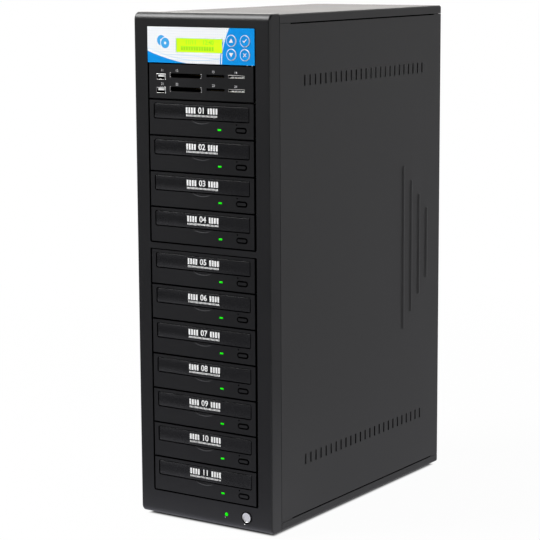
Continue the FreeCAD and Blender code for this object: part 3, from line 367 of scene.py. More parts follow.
def bezel_gaps(place):
    """1 along the bezel's edges under the lowest drive and under the middle drives, which get painted
    shade.
    """
    across, _, height = place.axes()
    lines = 0.0
    for top in (SILL_TOP, BAR_TOP):
        over = height - top
        lines = lines + over.ease(*LINE_START) * (1 - over.ease(*LINE_STOP))
    return lines * (1 - abs(across).ease(*BAY_END))


def from_left(place):
    """1 at the left end of a drive front, 0 at the right."""
    return 1 - place.axes()[0].ease(*SHEEN_ACROSS)


def front_haze(place):
    """A drive front's painted sheen: none on the right, a little on the left."""
    return FRONT_SHARE * from_left(place)


def scallop_rims(place):
    """1 along the lower rim of a drive front's finger scallop: a painted highlight, as if the rim caught
    the light.
    """
    across, _, height = place.axes()
    rise = in_drive(height) - DOOR_RISE - (SCALLOP_R - SCALLOP_DROP)
    reach = across.math("SQRT", across * across + rise * rise) - SCALLOP_R
    line = reach.ease(*RIM_START) * (1 - reach.ease(*RIM_STOP))
    on_drive = height.math("LESS_THAN", height, door_feet[0])
    return on_drive * line * (1 - abs(across).ease(*RIM_END))


def door_haze(place):
    """A door's painted sheen: strong along its lower edge, faint along its upper one."""
    rise = in_drive(place.axes()[2]) - DOOR_RISE
    low_edge = 1 - rise.ease(*SHEEN_LOW)
    high_edge = rise.ease(*SHEEN_HIGH)
    return (RIGHT_SHARE + (1 - RIGHT_SHARE) * from_left(place)) * (low_edge + HIGH_SHARE * high_edge)


print("drives repeat every", round(DRIVE_PITCH / MM, 2), "mm")

# %% Black finishes
CLOUD_MM = 90.0
GRAIN_SHARE, CLOUD_SHARE = 0.55, 0.45
DARKEST, LIGHTEST = 0.7, 1.3
GRAIN_ROUGH, CLOUD_ROUGH = 0.16, 0.1


def grained(name, shade, roughness, grain_mm, depth_mm, specular, tint=(1.0, 1.0, 1.07), strength=0.5,
            sheen=None, rims=None, gaps=None):
    """Black plastic or paint: grain in tone, roughness and bump, a slow cloud over large faces, and painted
    sheen, highlights and shade where asked.
    """
    material, shader, place = finish(name, Specular_IOR_Level=specular)
    grain = place.noise(grain_mm, detail=3.0)
    cloud = place.noise(CLOUD_MM)
    mottle = GRAIN_SHARE * grain + CLOUD_SHARE * cloud
    tone = mottle.blend(grey(DARKEST * shade, tint), grey(LIGHTEST * shade, tint))
    # A painted sheen lightens the tone along the doors' lower edges and the fronts' left ends.
    if sheen:
        tone = sheen(place).blend(tone, grey(SHEEN_SHADE, tint))
    # A painted highlight lightens thin lines along the scallop rims.
    if rims:
        tone = rims(place).blend(tone, grey(RIM_HIGHLIGHT_TONE, tint))
    feed(shader,
         Base_Color=tone,
         Roughness=roughness + GRAIN_ROUGH * (grain - 0.5) + CLOUD_ROUGH * (cloud - 0.5),
         Normal=bump(grain, depth_mm, strength))
    # Painted shade: a dull black is mixed in beside the gaps.
    if gaps:
        glossy_black = Wire(place.tree, shader.outputs["BSDF"])
        dull = place.node("ShaderNodeBsdfDiffuse", None, {"Color": grey(PAINTED_SHADE_TONE)})
        both = place.node("ShaderNodeMixShader", None, {0: gaps(place), 1: glossy_black, 2: dull})
        place.tree.links.new(both.socket, place.tree.nodes["Material Output"].inputs["Surface"])
    return material


moulded_black = grained("moulded_black", shade=0.0060, roughness=0.40, grain_mm=0.55, depth_mm=0.03,
                        specular=0.50, gaps=bezel_gaps)
# The drive fronts' finish carries a painted sheen on the left, painted highlights on the scallop rims and
# painted shade beside the gaps.
drive_black = grained("drive_black", shade=0.0040, roughness=0.40, grain_mm=0.45, depth_mm=0.02,
                      specular=0.47, sheen=front_haze, rims=scallop_rims, gaps=front_gaps)
# The doors' finish carries a painted sheen along their lower and upper edges.
door_black = grained("door_black", shade=0.0040, roughness=0.27, grain_mm=0.6, depth_mm=0.008,
                     specular=0.43, strength=0.3, sheen=door_haze)
case_paint = grained("case_paint", shade=0.0400, roughness=0.5, grain_mm=1.4, depth_mm=0.08,
                     specular=0.29, tint=(1.0, 0.99, 1.02))
socket_black = grained("socket_black", shade=0.004, roughness=0.55, grain_mm=0.4, depth_mm=0.02,
                       specular=0.2)
# Painted shade: a dull black for faces that lie in shade between and behind the parts.
gap_black = grained("gap_black", shade=PAINTED_SHADE_TONE, roughness=0.7, grain_mm=0.8, depth_mm=0.02,
                    specular=0.0)
fan_black = grained("fan_black", shade=0.012, roughness=0.5, grain_mm=0.6, depth_mm=0.02, specular=0.35)
tray_black = grained("tray_black", shade=0.012, roughness=0.5, grain_mm=0.5, depth_mm=0.02, specular=0.35)
rubber_black = grained("rubber_black", shade=0.012, roughness=0.8, grain_mm=0.7, depth_mm=0.05,
                       specular=0.2)
print("black finishes:", [m.name for m in bpy.data.materials if "black" in m.name])

# %% [markdown]
# Zinc-plated sheet shows faint crystals and rolling streaks. The connector shells are nickel, which
# is smoother and brighter, the contacts are gilded, the screws are steel and the inlet's pins are
# brass. All of them are metals, so their colour sits in the reflection. Noise stretched along one
# axis gives the streaks.


# %% Metals
CRYSTAL_MM = 14.0
METAL_DARK = 0.82
STREAK_DEPTH, STREAK_STRENGTH = 0.01, 0.3


def metal(name, colour, roughness, streak=(1.0, 1.0, 1.0), streak_mm=2.0, spread=0.12):
    """Bare metal with streaks along one axis and faint crystals."""
    material, shader, place = finish(name, Metallic=1.0)
    streaks = place.noise(streak_mm, detail=3.0, stretch=streak)
    crystals = place.noise(CRYSTAL_MM, detail=1.0)
    dark = tuple(METAL_DARK * c for c in colour) + (1.0,)
    feed(shader, Base_Color=(0.5 * streaks + 0.5 * crystals).blend(dark, colour + (1.0,)),
         Roughness=roughness + spread * (streaks - 0.5) + spread * (crystals - 0.5),
         Normal=bump(streaks, STREAK_DEPTH, STREAK_STRENGTH))
    return material


zinc_sheet = metal("zinc_sheet", (0.62, 0.62, 0.63), roughness=0.42, streak=(1.0, 0.06, 1.0))
nickel = metal("nickel", (0.78, 0.77, 0.75), roughness=0.24, streak=(1.0, 0.2, 1.0), streak_mm=0.8)
screw_steel = metal("screw_steel", (0.66, 0.66, 0.67), roughness=0.3, streak_mm=0.6)
gilt = metal("gilt", (0.86, 0.66, 0.3), roughness=0.26, streak=(1.0, 0.3, 1.0), streak_mm=0.5)
brass = metal("brass", (0.78, 0.68, 0.45), roughness=0.3, streak=(1.0, 0.3, 1.0), streak_mm=0.6)
print("metals: zinc, nickel, steel, gilt, brass")

# %% [markdown]
# The lamps and the display give their own light, so their colour goes to the emission as well. A
# lamp's lens is faintly mottled, and the display is a little uneven, as a lamp at one end lights it.
# Screen print is thin paint, and no print lies quite even.


# %% Lit and printed finishes
LENS_GREEN, LENS_DIM = (0.004, 0.56, 0.001, 1.0), (0.003, 0.42, 0.00075, 1.0)
GLASS_DIM, GLASS_BRIGHT = (0.43, 0.78, 0.010, 1.0), (0.48, 0.84, 0.012, 1.0)
GLASS_ACROSS, GLASS_SLOPE, GLASS_MOTTLE = (-0.045, 0.04), 0.6, 0.4
INK_FADED, INK_ROUGH = 0.86, 0.15

lamp_green, shader, place = finish("lamp_green", Emission_Strength=1.0, Roughness=0.3,
                                   Specular_IOR_Level=0.1)
lit = place.noise(size_mm=0.8, detail=1.0).blend(LENS_DIM, LENS_GREEN)
feed(shader, Base_Color=lit, Emission_Color=lit)

display_lit, shader, place = finish("display_lit", Emission_Strength=0.58, Roughness=0.2,
                                    Specular_IOR_Level=0.15)
mottle = place.noise(size_mm=9.0, detail=1.0)
uneven = GLASS_SLOPE * place.axes()[0].ease(*GLASS_ACROSS) + GLASS_MOTTLE * mottle
lit = uneven.blend(GLASS_DIM, GLASS_BRIGHT)
feed(shader, Base_Color=lit, Emission_Color=lit)


def ink(name, colour, roughness=0.5):
    """Screen print: thin paint, a little uneven."""
    material, shader, place = finish(name, Specular_IOR_Level=0.3)
    worn = place.noise(size_mm=0.6)
    faded = tuple(INK_FADED * c for c in colour) + (1.0,)
    feed(shader, Base_Color=worn.blend(faded, colour + (1.0,)),
         Roughness=roughness + INK_ROUGH * (worn - 0.5))
    return material


white_ink = ink("white_ink", (0.93, 0.93, 0.93))
grey_ink = ink("grey_ink", (0.78, 0.78, 0.80))
display_ink = ink("display_ink", (0.42, 0.82, 0.012), 0.3)
board_green = ink("board_green", (0.03, 0.16, 0.055), 0.35)
print("lit and printed finishes ready")

# %% [markdown]
# ## The printed film
# The film over the control panel is white with a fine grid of pale dots, and blue behind the keys.
# The print is drawn by sums on the place: a curve parts white from blue, a wedge of blue fills the
# lower left with two fine lines over it, rings stand round the keys, and two discs, one over the
# other, say what the machine does. A grey line stands round the display's window, and a painted
# shadow darkens the window's right side. Distances in millimetres from the middle of the film keep
# the numbers readable. Each curve is a parabola, given by its three factors.


# %% Colours and sizes of the print
KEYS = ("up_key", "down_key", "enter_key", "escape_key")
BLUE = (0.001, 0.28, 0.76, 1.0)
PAPER_WHITE = (0.88, 0.90, 0.92, 1.0)
DOT_GREY = (0.56, 0.62, 0.71, 1.0)
PALE_BLUE = (0.42, 0.68, 0.90, 1.0)
DISC_BLUE = (0.05, 0.38, 0.80, 1.0)
LINE_AND_SHADOW_GREY = (0.10, 0.085, 0.08, 1.0)
WINDOW_W, WINDOW_H = 64.5, 15.6
EDGE_FADE, SHADOW_FADE, SHADOW_REACH = (0.3, 0.6), (0.6, 1.0), 1
EDGE_SHARE, SHADOW_SHARE = 0.35, 0.5
SOFT = 0.15
RING_IN, RING_OUT = 6.2, 6.85
DOT_PITCH, DOT_R, DOT_START = 3.0, 0.55, 200.0
FIELD_CURVE = (32.9, 0.25, 0.0065)
STRIPE_BACK, STRIPE_FADE, STRIPE_TOP = 2.0, (0.65, 0.9), (2.0, 9.0)
WEDGE_X, WEDGE_CURVE = -19.0, (-20.6, 0.126, 0.00196)
LONG_X, LONG_CURVE, LONG_FADE = 5.0, (-17.0, 0.0, 0.0028), (0.2, 0.45)
SHORT_X, SHORT_CURVE, SHORT_FADE, SHORT_END = 35.0, (-11.3, 0.0, -0.0011), (0.15, 0.4), (-52.0, -40.0)
LINE_SHARE = 0.7
DISC_MARKS = ((-55.0, 5.0), (-49.5, 2.0))
DISC_R, DISC_HOLE_R, DISC_LINE = 6.5, 1.6, 0.45
print("print of", len(DISC_MARKS), "discs and", len(KEYS), "rings")


# %% Helpers for the film
def middle_of(node):
    low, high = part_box(node)
    return [(a + b) / 2 for a, b in zip(low, high)]


film_low, film_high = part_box("control_panel_overlay")
film_x, _, film_z = middle_of("control_panel_overlay")
film_print, shader, place = finish("film_print", Roughness=0.4, Specular_IOR_Level=0.15)
px, _, pz = place.axes()
x = (px - film_x) * (1 / MM)
z = (pz - film_z) * (1 / MM)


def length(a, b):
    return a.math("SQRT", a * a + b * b)


def parabola(along, factors):
    start, slope, bend = factors
    return start + slope * along + bend * (along * along)


def past_edge(distance, edge):
    """0 inside an edge and 1 past it, with a soft step."""
    return distance.ease(edge - SOFT, edge + SOFT)


print("film placed at", round(film_x / MM, 1), round(film_z / MM, 1))

# %% Draw the film
half_pitch = DOT_PITCH / 2
dots = length(x.math("PINGPONG", x + DOT_START, half_pitch), x.math("PINGPONG", z + DOT_START, half_pitch))
dot_mask = 1 - past_edge(dots, DOT_R)
right_of_curve = x - parabola(z, FIELD_CURVE)
key_field = past_edge(right_of_curve, 0.0)
stripe_mask = (1 - abs(right_of_curve + STRIPE_BACK).ease(*STRIPE_FADE)) * (1 - z.ease(*STRIPE_TOP))
wedge = 1 - past_edge(z - parabola(WEDGE_X - x, WEDGE_CURVE), 0.0)
long_line = 1 - abs(z - parabola(x + LONG_X, LONG_CURVE)).ease(*LONG_FADE)
short_line = 1 - abs(z - parabola(x + SHORT_X, SHORT_CURVE)).ease(*SHORT_FADE)
line_mask = (long_line + short_line * x.ease(*SHORT_END)) * (1 - key_field)
rings = 0.0
for key in KEYS:
    key_x, _, key_z = middle_of(key)
    reach = length(x - (key_x - film_x) / MM, z - (key_z - film_z) / MM)
    rings = rings + past_edge(reach, RING_IN) * (1 - past_edge(reach, RING_OUT))
blue_mask = x.math("MAXIMUM", key_field, x.math("MAXIMUM", stripe_mask, wedge))
print_colour = dot_mask.blend(PAPER_WHITE, DOT_GREY)
for mark_x, mark_z in DISC_MARKS:
    reach = length(x - mark_x, z - mark_z)
    whole = 1 - past_edge(reach, DISC_R)
    rim = 1 - past_edge(abs(reach - DISC_R), DISC_LINE)
    hole = 1 - past_edge(reach, DISC_HOLE_R)
    print_colour = whole.blend(print_colour, DISC_BLUE)
    print_colour = x.math("MAXIMUM", rim, hole).blend(print_colour, PAPER_WHITE)
print_colour = (LINE_SHARE * line_mask).blend(print_colour, PALE_BLUE)
display_x, _, display_z = middle_of("display_module")
window_x = x - (display_x - film_x) / MM
window_z = z - (display_z - film_z) / MM
past = x.math("MAXIMUM", abs(window_x) - WINDOW_W / 2, abs(window_z) - WINDOW_H / 2)
window_edge = 1 - past.ease(*EDGE_FADE)
# Painted shadow: a darker band along the window's right side.
right_shadow = (1 - past.ease(*SHADOW_FADE)) * window_x.ease(WINDOW_W / 2 - SHADOW_REACH, WINDOW_W / 2)
window_line_and_shadow = EDGE_SHARE * window_edge + SHADOW_SHARE * right_shadow
print_colour = window_line_and_shadow.blend(print_colour, LINE_AND_SHADOW_GREY)
print_colour = blue_mask.blend(print_colour, BLUE)
print_colour = rings.blend(print_colour, PAPER_WHITE)
feed(shader, Base_Color=print_colour,
     Normal=bump(place.noise(size_mm=1.2), depth_mm=0.01, strength=0.2))
print("film print over", round((film_high[0] - film_low[0]) / MM), "mm")

# %% [markdown]
# The round keys are blue like the field around them. Each carries a white rim, so that with the
# ring on the film it reads as one printed circle. The rim is drawn by the distance to the nearest
# key's axis, so one finish serves all four.

# %% Finish of the keys
KEY_RIM_R = 5.9
key_print, shader, place = finish("key_print", Roughness=0.4, Specular_IOR_Level=0.2)
px, _, pz = place.axes()
nearest = None
for key in KEYS:
    key_x, _, key_z = middle_of(key)
    reach = length((px - key_x) * (1 / MM), (pz - key_z) * (1 / MM))
    nearest = reach if nearest is None else reach.math("MINIMUM", nearest, reach)
key_rim = past_edge(nearest, KEY_RIM_R)
feed(shader, Base_Color=key_rim.blend(BLUE, PAPER_WHITE),
     Normal=bump(place.noise(size_mm=0.9), depth_mm=0.01, strength=0.2))
print("keys at", [[round(c / MM, 1) for c in middle_of(key)] for key in KEYS])

# %% [markdown]
# ## Soft edges
# A moulded or folded edge is never sharp: it has a small radius that catches a thin line of light,
# and on black things that line is most of what the eye sees. The solids' edges are sharp, so a
# visible node is copied, its loose triangles are merged, its flat faces are joined, and a Bevel
# modifier rounds the edges. Weighted normals keep the flat faces flat. The copy then stands for
# the node.

# %% Copy, round and show
MERGE = 1e-6
FLAT = math.radians(0.6)
SHARP = math.radians(32)


def baked(source):
    """The plain mesh that an object's modifiers give. The object itself is removed."""
    graph = bpy.context.evaluated_depsgraph_get()
    mesh = bpy.data.meshes.new_from_object(source.evaluated_get(graph), depsgraph=graph)
    bpy.data.objects.remove(source)
    return mesh


def show(name, mesh, body, slot, *finishes):
    """Show a mesh as a piece that rides on a body."""
    for each in finishes:
        mesh.materials.append(each)
    piece = bpy.data.objects.new(name, mesh)
    scene.collection.objects.link(piece)
    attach(piece, body)
    return piece


def softened(mesh, width_mm, segments=2):
    """Round the sharp edges of a mesh, with normals that keep its flat faces flat."""
    mesh.polygons.foreach_set("use_smooth", [True] * len(mesh.polygons))
    source = bpy.data.objects.new("softened", mesh)
    scene.collection.objects.link(source)
    if width_mm:
        edge = source.modifiers.new("edge", "BEVEL")
        edge.width = width_mm * MM
        edge.segments = segments
        edge.limit_method = "ANGLE"
        edge.angle_limit = SHARP
    flat = source.modifiers.new("flat", "WEIGHTED_NORMAL")
    flat.keep_sharp = True
    if not width_mm:
        mesh.set_sharp_from_angle(angle=SHARP)
    return baked(source)


def copy_of(node):
    """A node's mesh with its triangles merged and its flat faces joined."""
    mesh = nodes[node].data.copy()
    work = bmesh.new()
    work.from_mesh(mesh)
    bmesh.ops.remove_doubles(work, verts=work.verts, dist=MERGE)
    bmesh.ops.dissolve_limit(work, angle_limit=FLAT, verts=work.verts, edges=work.edges)
    work.to_mesh(mesh)
    work.free()
    mesh.materials.clear()
    return mesh


slot_of = {row["node"]: row["material_slot"] for row in frame["record"]["subparts"]}


def dress(node, width_mm, *finishes, choose=None):
    """Show a soft-edged copy in place of a node. choose gives the number of a face's finish."""
    mesh = softened(copy_of(node), width_mm)
    piece = show(node + "_dressed", mesh, nodes[node]["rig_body"], slot_of[node], *finishes)
    if choose:
        for face in mesh.polygons:
            face.material_index = choose(face)
    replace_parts(piece, node)
    return piece


def paint(finish_name, *names):
    """Give nodes whose shape is right their finish."""
    for name in names:
        nodes[name].material_slots[0].material = finish_name


print("helpers ready")

# %% [markdown]
# ## Case and front
# The front bezel's bay openings get a fine radius. The sheet-metal panels keep their crisp sheared
# edges, and the bent edges of the cover and the pan are only smoothed. The walls of the bay openings
# and the lips behind the panels' seams lie in deep shade on the real tower. Each of their faces gets
# the dull black of painted shade, chosen by where the face lies and which way it points.

# %% Dress the case
OPENING_X = 76.2 * MM
OPENING_Z = (12.2 * MM, 595.8 * MM)
FACING = -0.97
UPWARDS, SIDEWAYS = 0.3, 0.5
SHADE_DEPTH = 0.75 * MM
SHEET_X = 94.1 * MM
BEZEL_EDGE, FOOT_EDGE = 0.45, 0.5
bezel_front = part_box("front_bezel")[0][1]


def in_opening(face):
    """1 for the walls of the openings in the bezel, which get painted shade, 0 for its outside."""
    x, y, z = face.center
    edge = face.normal.y > FACING and face.normal.z > -UPWARDS
    behind = y > bezel_front + SHADE_DEPTH or edge
    return int(behind and abs(x) < OPENING_X and OPENING_Z[0] < z < OPENING_Z[1])


def inside_sheet(face):
    """1 for the lips behind a panel's seams, which get painted shade, 0 for its outside."""
    return int(abs(face.center.x) < SHEET_X and abs(face.normal.x) > SIDEWAYS)


# The walls of the bay openings get the dull black as painted shade.
dress("front_bezel", BEZEL_EDGE, moulded_black, gap_black, choose=in_opening)
for sheet_metal in ("top_cover", "bottom_pan", "rear_panel"):
    dress(sheet_metal, 0.0, case_paint)
# The lips behind the seams get the dull black as painted shade.
for side_panel in ("right_side_panel", "left_side_panel"):
    dress(side_panel, 0.0, case_paint, gap_black, choose=inside_sheet)
paint(zinc_sheet, "drive_casings")
paint(case_paint, "left_cage_wall", "right_cage_wall")
paint(socket_black, "drive_loaders", "controller_tray", "power_switch_body")
# The border of the panel face round the film is dull black as painted shade.
paint(gap_black, "control_panel_face")
paint(board_green, "key_board", "controller_board", "card_reader_board")
paint(film_print, "control_panel_overlay")
dress("feet", FOOT_EDGE, rubber_black)
print("case dressed")

# %% [markdown]
# ## Drives
# A tray and its door share a node, because they move together. The door is smoother than the drive
# front round it, and the tray behind it is plain moulded plastic. So the finish of a face is chosen
# by its depth behind the front and by the way it points: the door's face, its edges in the gap in a
# dull black of painted shade, or the tray.

# %% Dress the drives
DRIVE_EDGE, DOOR_EDGE, EJECT_EDGE, LAMP_EDGE = 0.3, 0.45, 0.8, 0.3
DOOR_DEPTH, DOOR_FACING = 3.05 * MM, -0.95
SCALLOP_X, SCALLOP_DEPTH = 14.0 * MM, 1.5 * MM
RIM_DEPTH = 0.35 * MM
drive_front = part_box("drive_bezels")[0][1]


def in_gap(face):
    """0 for a drive front's face and its finger scallop, 1 for its edges and its flanks, in painted shade.
    """
    depth = face.center.y - drive_front
    if face.normal.z > UPWARDS and depth < RIM_DEPTH:
        return 1
    if abs(face.center.x) < SCALLOP_X:
        shaded = depth > SCALLOP_DEPTH
    else:
        shaded = depth > SHADE_DEPTH or face.normal.y > FACING
    return int(shaded)


def off_face(face):
    """0 for the face of a button, 1 for its rim and its sides, in painted shade."""
    return int(face.normal.y > FACING)


def of_tray(face):
    """0 for a door's face and its upper edge, 1 for its other edges, in painted shade, 2 for the tray
    behind it.
    """
    y = face.center.y - tray_front
    if y > DOOR_DEPTH:
        return 2
    seen_edge = face.normal.y < DOOR_FACING or face.normal.z > UPWARDS
    return 0 if y < SHADE_DEPTH and seen_edge else 1


# Edges, flanks and rims in the gaps get the dull black as painted shade.
dress("drive_bezels", DRIVE_EDGE, drive_black, gap_black, choose=in_gap)
for drive in DRIVES:
    tray_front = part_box(drive + "_tray")[0][1]
    dress(drive + "_tray", DOOR_EDGE, door_black, gap_black, tray_black, choose=of_tray)
    dress(drive + "_eject_button", EJECT_EDGE, drive_black, gap_black, choose=off_face)
dress("drive_leds", LAMP_EDGE, lamp_green)
print("drives dressed:", len(DRIVES))

# %% [markdown]
# ## Turned pieces
# The keys are round and slightly dished, so that a finger finds them, and the power button is a
# deeper silver dish inside a thin collar, whose inner wall and top are a dull black of painted
# shade. A list of radius and depth is turned about the axis of the solid that it stands for. The
# button's finishes part at a distance from that axis.


# %% Turn the keys and the power button
ROUND = 64


def turned(profile, x, z):
    """A closed mesh from (radius, y) points in mm, turned about the Y axis through x, z."""
    work = bmesh.new()
    rings = []
    for radius, y in profile:
        if radius == 0:
            rings.append([work.verts.new((x, y * MM, z))] * ROUND)
            continue
        angles = [2 * math.pi * i / ROUND for i in range(ROUND)]
        rings.append([work.verts.new((x + radius * MM * math.cos(a), y * MM, z + radius * MM * math.sin(a)))
                      for a in angles])
    for first, second in zip(rings, rings[1:]):
        for i in range(ROUND):
            j = (i + 1) % ROUND
            corners = list(dict.fromkeys((first[i], first[j], second[j], second[i])))
            work.faces.new(corners)
    bmesh.ops.recalc_face_normals(work, faces=work.faces)
    mesh = bpy.data.meshes.new("turned")
    work.to_mesh(mesh)
    work.free()
    return softened(mesh, 0.0)


KEY_R, KEY_FLANGE_R = 6.3, 7.0
KEY_DISH = [(0, 0.42), (2.5, 0.36), (4.4, 0.16), (5.3, 0.02), (5.7, 0.0), (6.05, 0.1), (6.25, 0.35),
            (KEY_R, 0.7)]
KEY_FOOT = [(KEY_R, 4.5), (KEY_FLANGE_R, 4.5), (KEY_FLANGE_R, 5.3), (KEY_R, 5.3), (KEY_R, 6.2), (0, 6.2)]
for key in KEYS:
    key_x, _, key_z = middle_of(key)
    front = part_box(key)[0][1] / MM
    cap = turned([(r, front + y) for r, y in KEY_DISH + KEY_FOOT], key_x, key_z)
    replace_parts(show(key + "_cap", cap, key, "key_cap", key_print), key)

SILVER_DULL, SILVER_BRIGHT = 0.86, 0.95
SILVER_ROUGH, SILVER_SPREAD = 0.3, 0.15
power_silver, shader, place = finish("power_silver", Metallic=0.75, Specular_IOR_Level=0.5)
brushed = place.noise(size_mm=0.5, detail=3.0)
feed(shader, Base_Color=brushed.blend(grey(SILVER_DULL), grey(SILVER_BRIGHT)),
     Roughness=SILVER_ROUGH + SILVER_SPREAD * (brushed - 0.5))
POWER_R, POWER_FLANGE_R = 6.5, 8.3
POWER_FACE_R, POWER_RIM_R = 6.0, 6.42
POWER_DISH = [(0, 2.0), (3.0, 2.0), (4.9, 1.95), (5.5, 1.8), (5.85, 1.6), (POWER_FACE_R, 1.4),
              (6.03, 0.2), (6.2, 0.0), (POWER_RIM_R, 0.12), (POWER_R, 0.5)]
POWER_FOOT = [(POWER_R, 4.7), (POWER_FLANGE_R, 4.7), (POWER_FLANGE_R, 6.7), (POWER_R, 6.7),
              (POWER_R, 11.2), (0, 11.2)]
power_x, _, power_z = middle_of("power_button")
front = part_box("power_button")[0][1] / MM
cap = turned([(r, front + y) for r, y in POWER_DISH + POWER_FOOT], power_x, power_z)
# The collar's inner wall and top get the dull black as painted shade, its outer side the bezel's black.
for face in cap.polygons:
    away_x, away_z = face.center.x - power_x, face.center.z - power_z
    reach = math.hypot(away_x, away_z) / MM
    face.material_index = int(reach > POWER_FACE_R) + int(reach > POWER_RIM_R)
power_cap = show("power_button_cap", cap, "power_button", "button_silver",
                 power_silver, gap_black, moulded_black)
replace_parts(power_cap, "power_button")
dress("power_led", 0.0, lamp_green)
print("turned pieces:", len(KEYS) + 1)

# %% [markdown]
# ## Print
# Numbers and signs are thin plates of ink. Text is made a mesh first, then stood upright and moved
# to its face. The signs on the keys are short outlines: two arrows, a tick and a cross. A key is
# dished, so the back of its sign lies as deep as the dish.

# %% Helpers for print
INK_MM = 0.06
DIGIT_SHARE = 0.7
DISC_SIDES = 12
STAND = Matrix.Rotation(math.radians(90), 4, "X")


def number_mesh(text, height_mm, x, y, z, bold_mm=0.0):
    """Digits facing the front, centred on x, z with their back on y. All in mm."""
    words = bpy.data.curves.new("number", "FONT")
    words.body = text
    words.size = height_mm * MM / DIGIT_SHARE
    words.align_x = "CENTER"
    words.align_y = "CENTER"
    words.extrude = INK_MM * MM / 2
    words.offset = bold_mm * MM
    source = bpy.data.objects.new("number", words)
    scene.collection.objects.link(source)
    mesh = baked(source)
    mesh.transform(Matrix.Translation(Vector((x, y - INK_MM / 2, z)) * MM) @ STAND)
    return mesh


def plate_mesh(outlines, y, thick_mm=INK_MM):
    """Thin plates from lists of x, z corners in mm, with their back on y."""
    work = bmesh.new()
    for outline in outlines:
        back = [work.verts.new((x * MM, y * MM, z * MM)) for x, z in outline]
        face = work.faces.new(back)
        grown = bmesh.ops.extrude_face_region(work, geom=[face])
        moved = [v for v in grown["geom"] if isinstance(v, bmesh.types.BMVert)]
        bmesh.ops.translate(work, verts=moved, vec=(0, -thick_mm * MM, 0))
    bmesh.ops.recalc_face_normals(work, faces=work.faces)
    mesh = bpy.data.meshes.new("plate")
    work.to_mesh(mesh)
    work.free()
    return mesh


def disc_outline(x, z, radius):
    """The corners of a small round plate."""
    angles = [2 * math.pi * i / DISC_SIDES for i in range(DISC_SIDES)]
    return [(x + radius * math.cos(a), z + radius * math.sin(a)) for a in angles]


def joined(*meshes):
    """Several meshes as one."""
    work = bmesh.new()
    for each in meshes:
        work.from_mesh(each)
    mesh = bpy.data.meshes.new("joined")
    work.to_mesh(mesh)
    work.free()
    return mesh


SIGN_SINK, SIGN_T = 0.45, 0.32
SIGNS = {
    "up_key": [[(-2.9, -2.1), (2.9, -2.1), (0, 2.8)]],
    "down_key": [[(-2.9, 2.1), (0, -2.8), (2.9, 2.1)]],
    "enter_key": [[(-2.9, 0.1), (-1.0, -2.0), (-1.0, -0.7), (-2.2, 0.8)],
                  [(-1.0, -2.0), (2.9, 1.9), (2.2, 2.6), (-1.0, -0.7)]],
    "escape_key": [[(-2.2, -1.6), (-1.6, -2.2), (2.2, 1.6), (1.6, 2.2)],
                   [(-2.2, 1.6), (1.6, -2.2), (2.2, -1.6), (-1.6, 2.2)]],
}
for key, outlines in SIGNS.items():
    key_x, _, key_z = (c / MM for c in middle_of(key))
    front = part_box(key)[0][1] / MM + SIGN_SINK
    moved = [[(key_x + x, key_z + z) for x, z in outline] for outline in outlines]
    show(key + "_sign", plate_mesh(moved, front, SIGN_T), key, "printed_film", white_ink)
print("signs on", len(SIGNS), "keys")

# %% [markdown]
# ## Repeats with Geometry Nodes
# Contacts, tick marks and the blocks of a progress bar are all the same thing: a row of small bars.
# One Geometry Nodes tree makes them, with the count, the pitch and the size of a bar as its inputs.
# Each vertex of the mesh that it is given becomes the middle of a row.


# %% The tree that makes rows of bars
def geometry_tree(name, inputs, build):
    """A tree with named inputs. build gets a wire and the inputs, and returns the instances."""
    tree = bpy.data.node_groups.new(name, "GeometryNodeTree")
    tree.interface.new_socket("Geometry", in_out="INPUT", socket_type="NodeSocketGeometry")
    for label, kind in inputs.items():
        tree.interface.new_socket(label, in_out="INPUT", socket_type="NodeSocket" + kind)
    tree.interface.new_socket("Material", in_out="INPUT", socket_type="NodeSocketMaterial")
    tree.interface.new_socket("Geometry", in_out="OUTPUT", socket_type="NodeSocketGeometry")
    entry = tree.nodes.new("NodeGroupInput")
    wires = {socket.name: Wire(tree, socket) for socket in entry.outputs if socket.name}
    start = Wire(tree)
    shape = start.node("GeometryNodeRealizeInstances", None, {"Geometry": build(start, wires)})
    shape = start.node("GeometryNodeSetMaterial", None, {"Geometry": shape, "Material": wires["Material"]})
    leave = tree.nodes.new("NodeGroupOutput")
    tree.links.new(shape.socket, leave.inputs["Geometry"])
    return tree


def grown(tree, places_mm, material, **sizes):
    """Run a tree on one vertex for each place, and return the plain mesh."""
    seeds = bpy.data.meshes.new("places")
    seeds.from_pydata([[c * MM for c in place] for place in places_mm], [], [])
    source = bpy.data.objects.new("places", seeds)
    scene.collection.objects.link(source)
    pattern = source.modifiers.new("pattern", "NODES")
    pattern.node_group = tree
    identifiers = {item.name: item.identifier for item in tree.interface.items_tree
                   if item.in_out == "INPUT"}
    pattern[identifiers["Material"]] = material
    for label, value in sizes.items():
        pattern[identifiers[label]] = value
    return baked(source)


def bars(start, wires):
    """A centred row of bars along X at each point."""
    size = start.node("ShaderNodeCombineXYZ", None,
                      {"X": wires["Width"], "Y": wires["Depth"], "Z": wires["Height"]})
    bar = start.node("GeometryNodeMeshCube", None, {"Size": size})
    step = start.node("ShaderNodeCombineXYZ", None, {"X": wires["Pitch"]})
    first = start.node("ShaderNodeCombineXYZ", None, {"X": -0.5 * wires["Pitch"] * (wires["Count"] - 1)})
    line = start.node("GeometryNodeMeshLine", None,
                      {"Count": wires["Count"], "Start Location": first, "Offset": step})
    row = start.node("GeometryNodeInstanceOnPoints", None, {"Points": line, "Instance": bar})
    return start.node("GeometryNodeInstanceOnPoints", None, {"Points": wires["Geometry"], "Instance": row})


BAR_INPUTS = {"Count": "Int", "Pitch": "Float", "Width": "Float", "Depth": "Float", "Height": "Float"}
bar_rows = geometry_tree("bar_rows", BAR_INPUTS, bars)


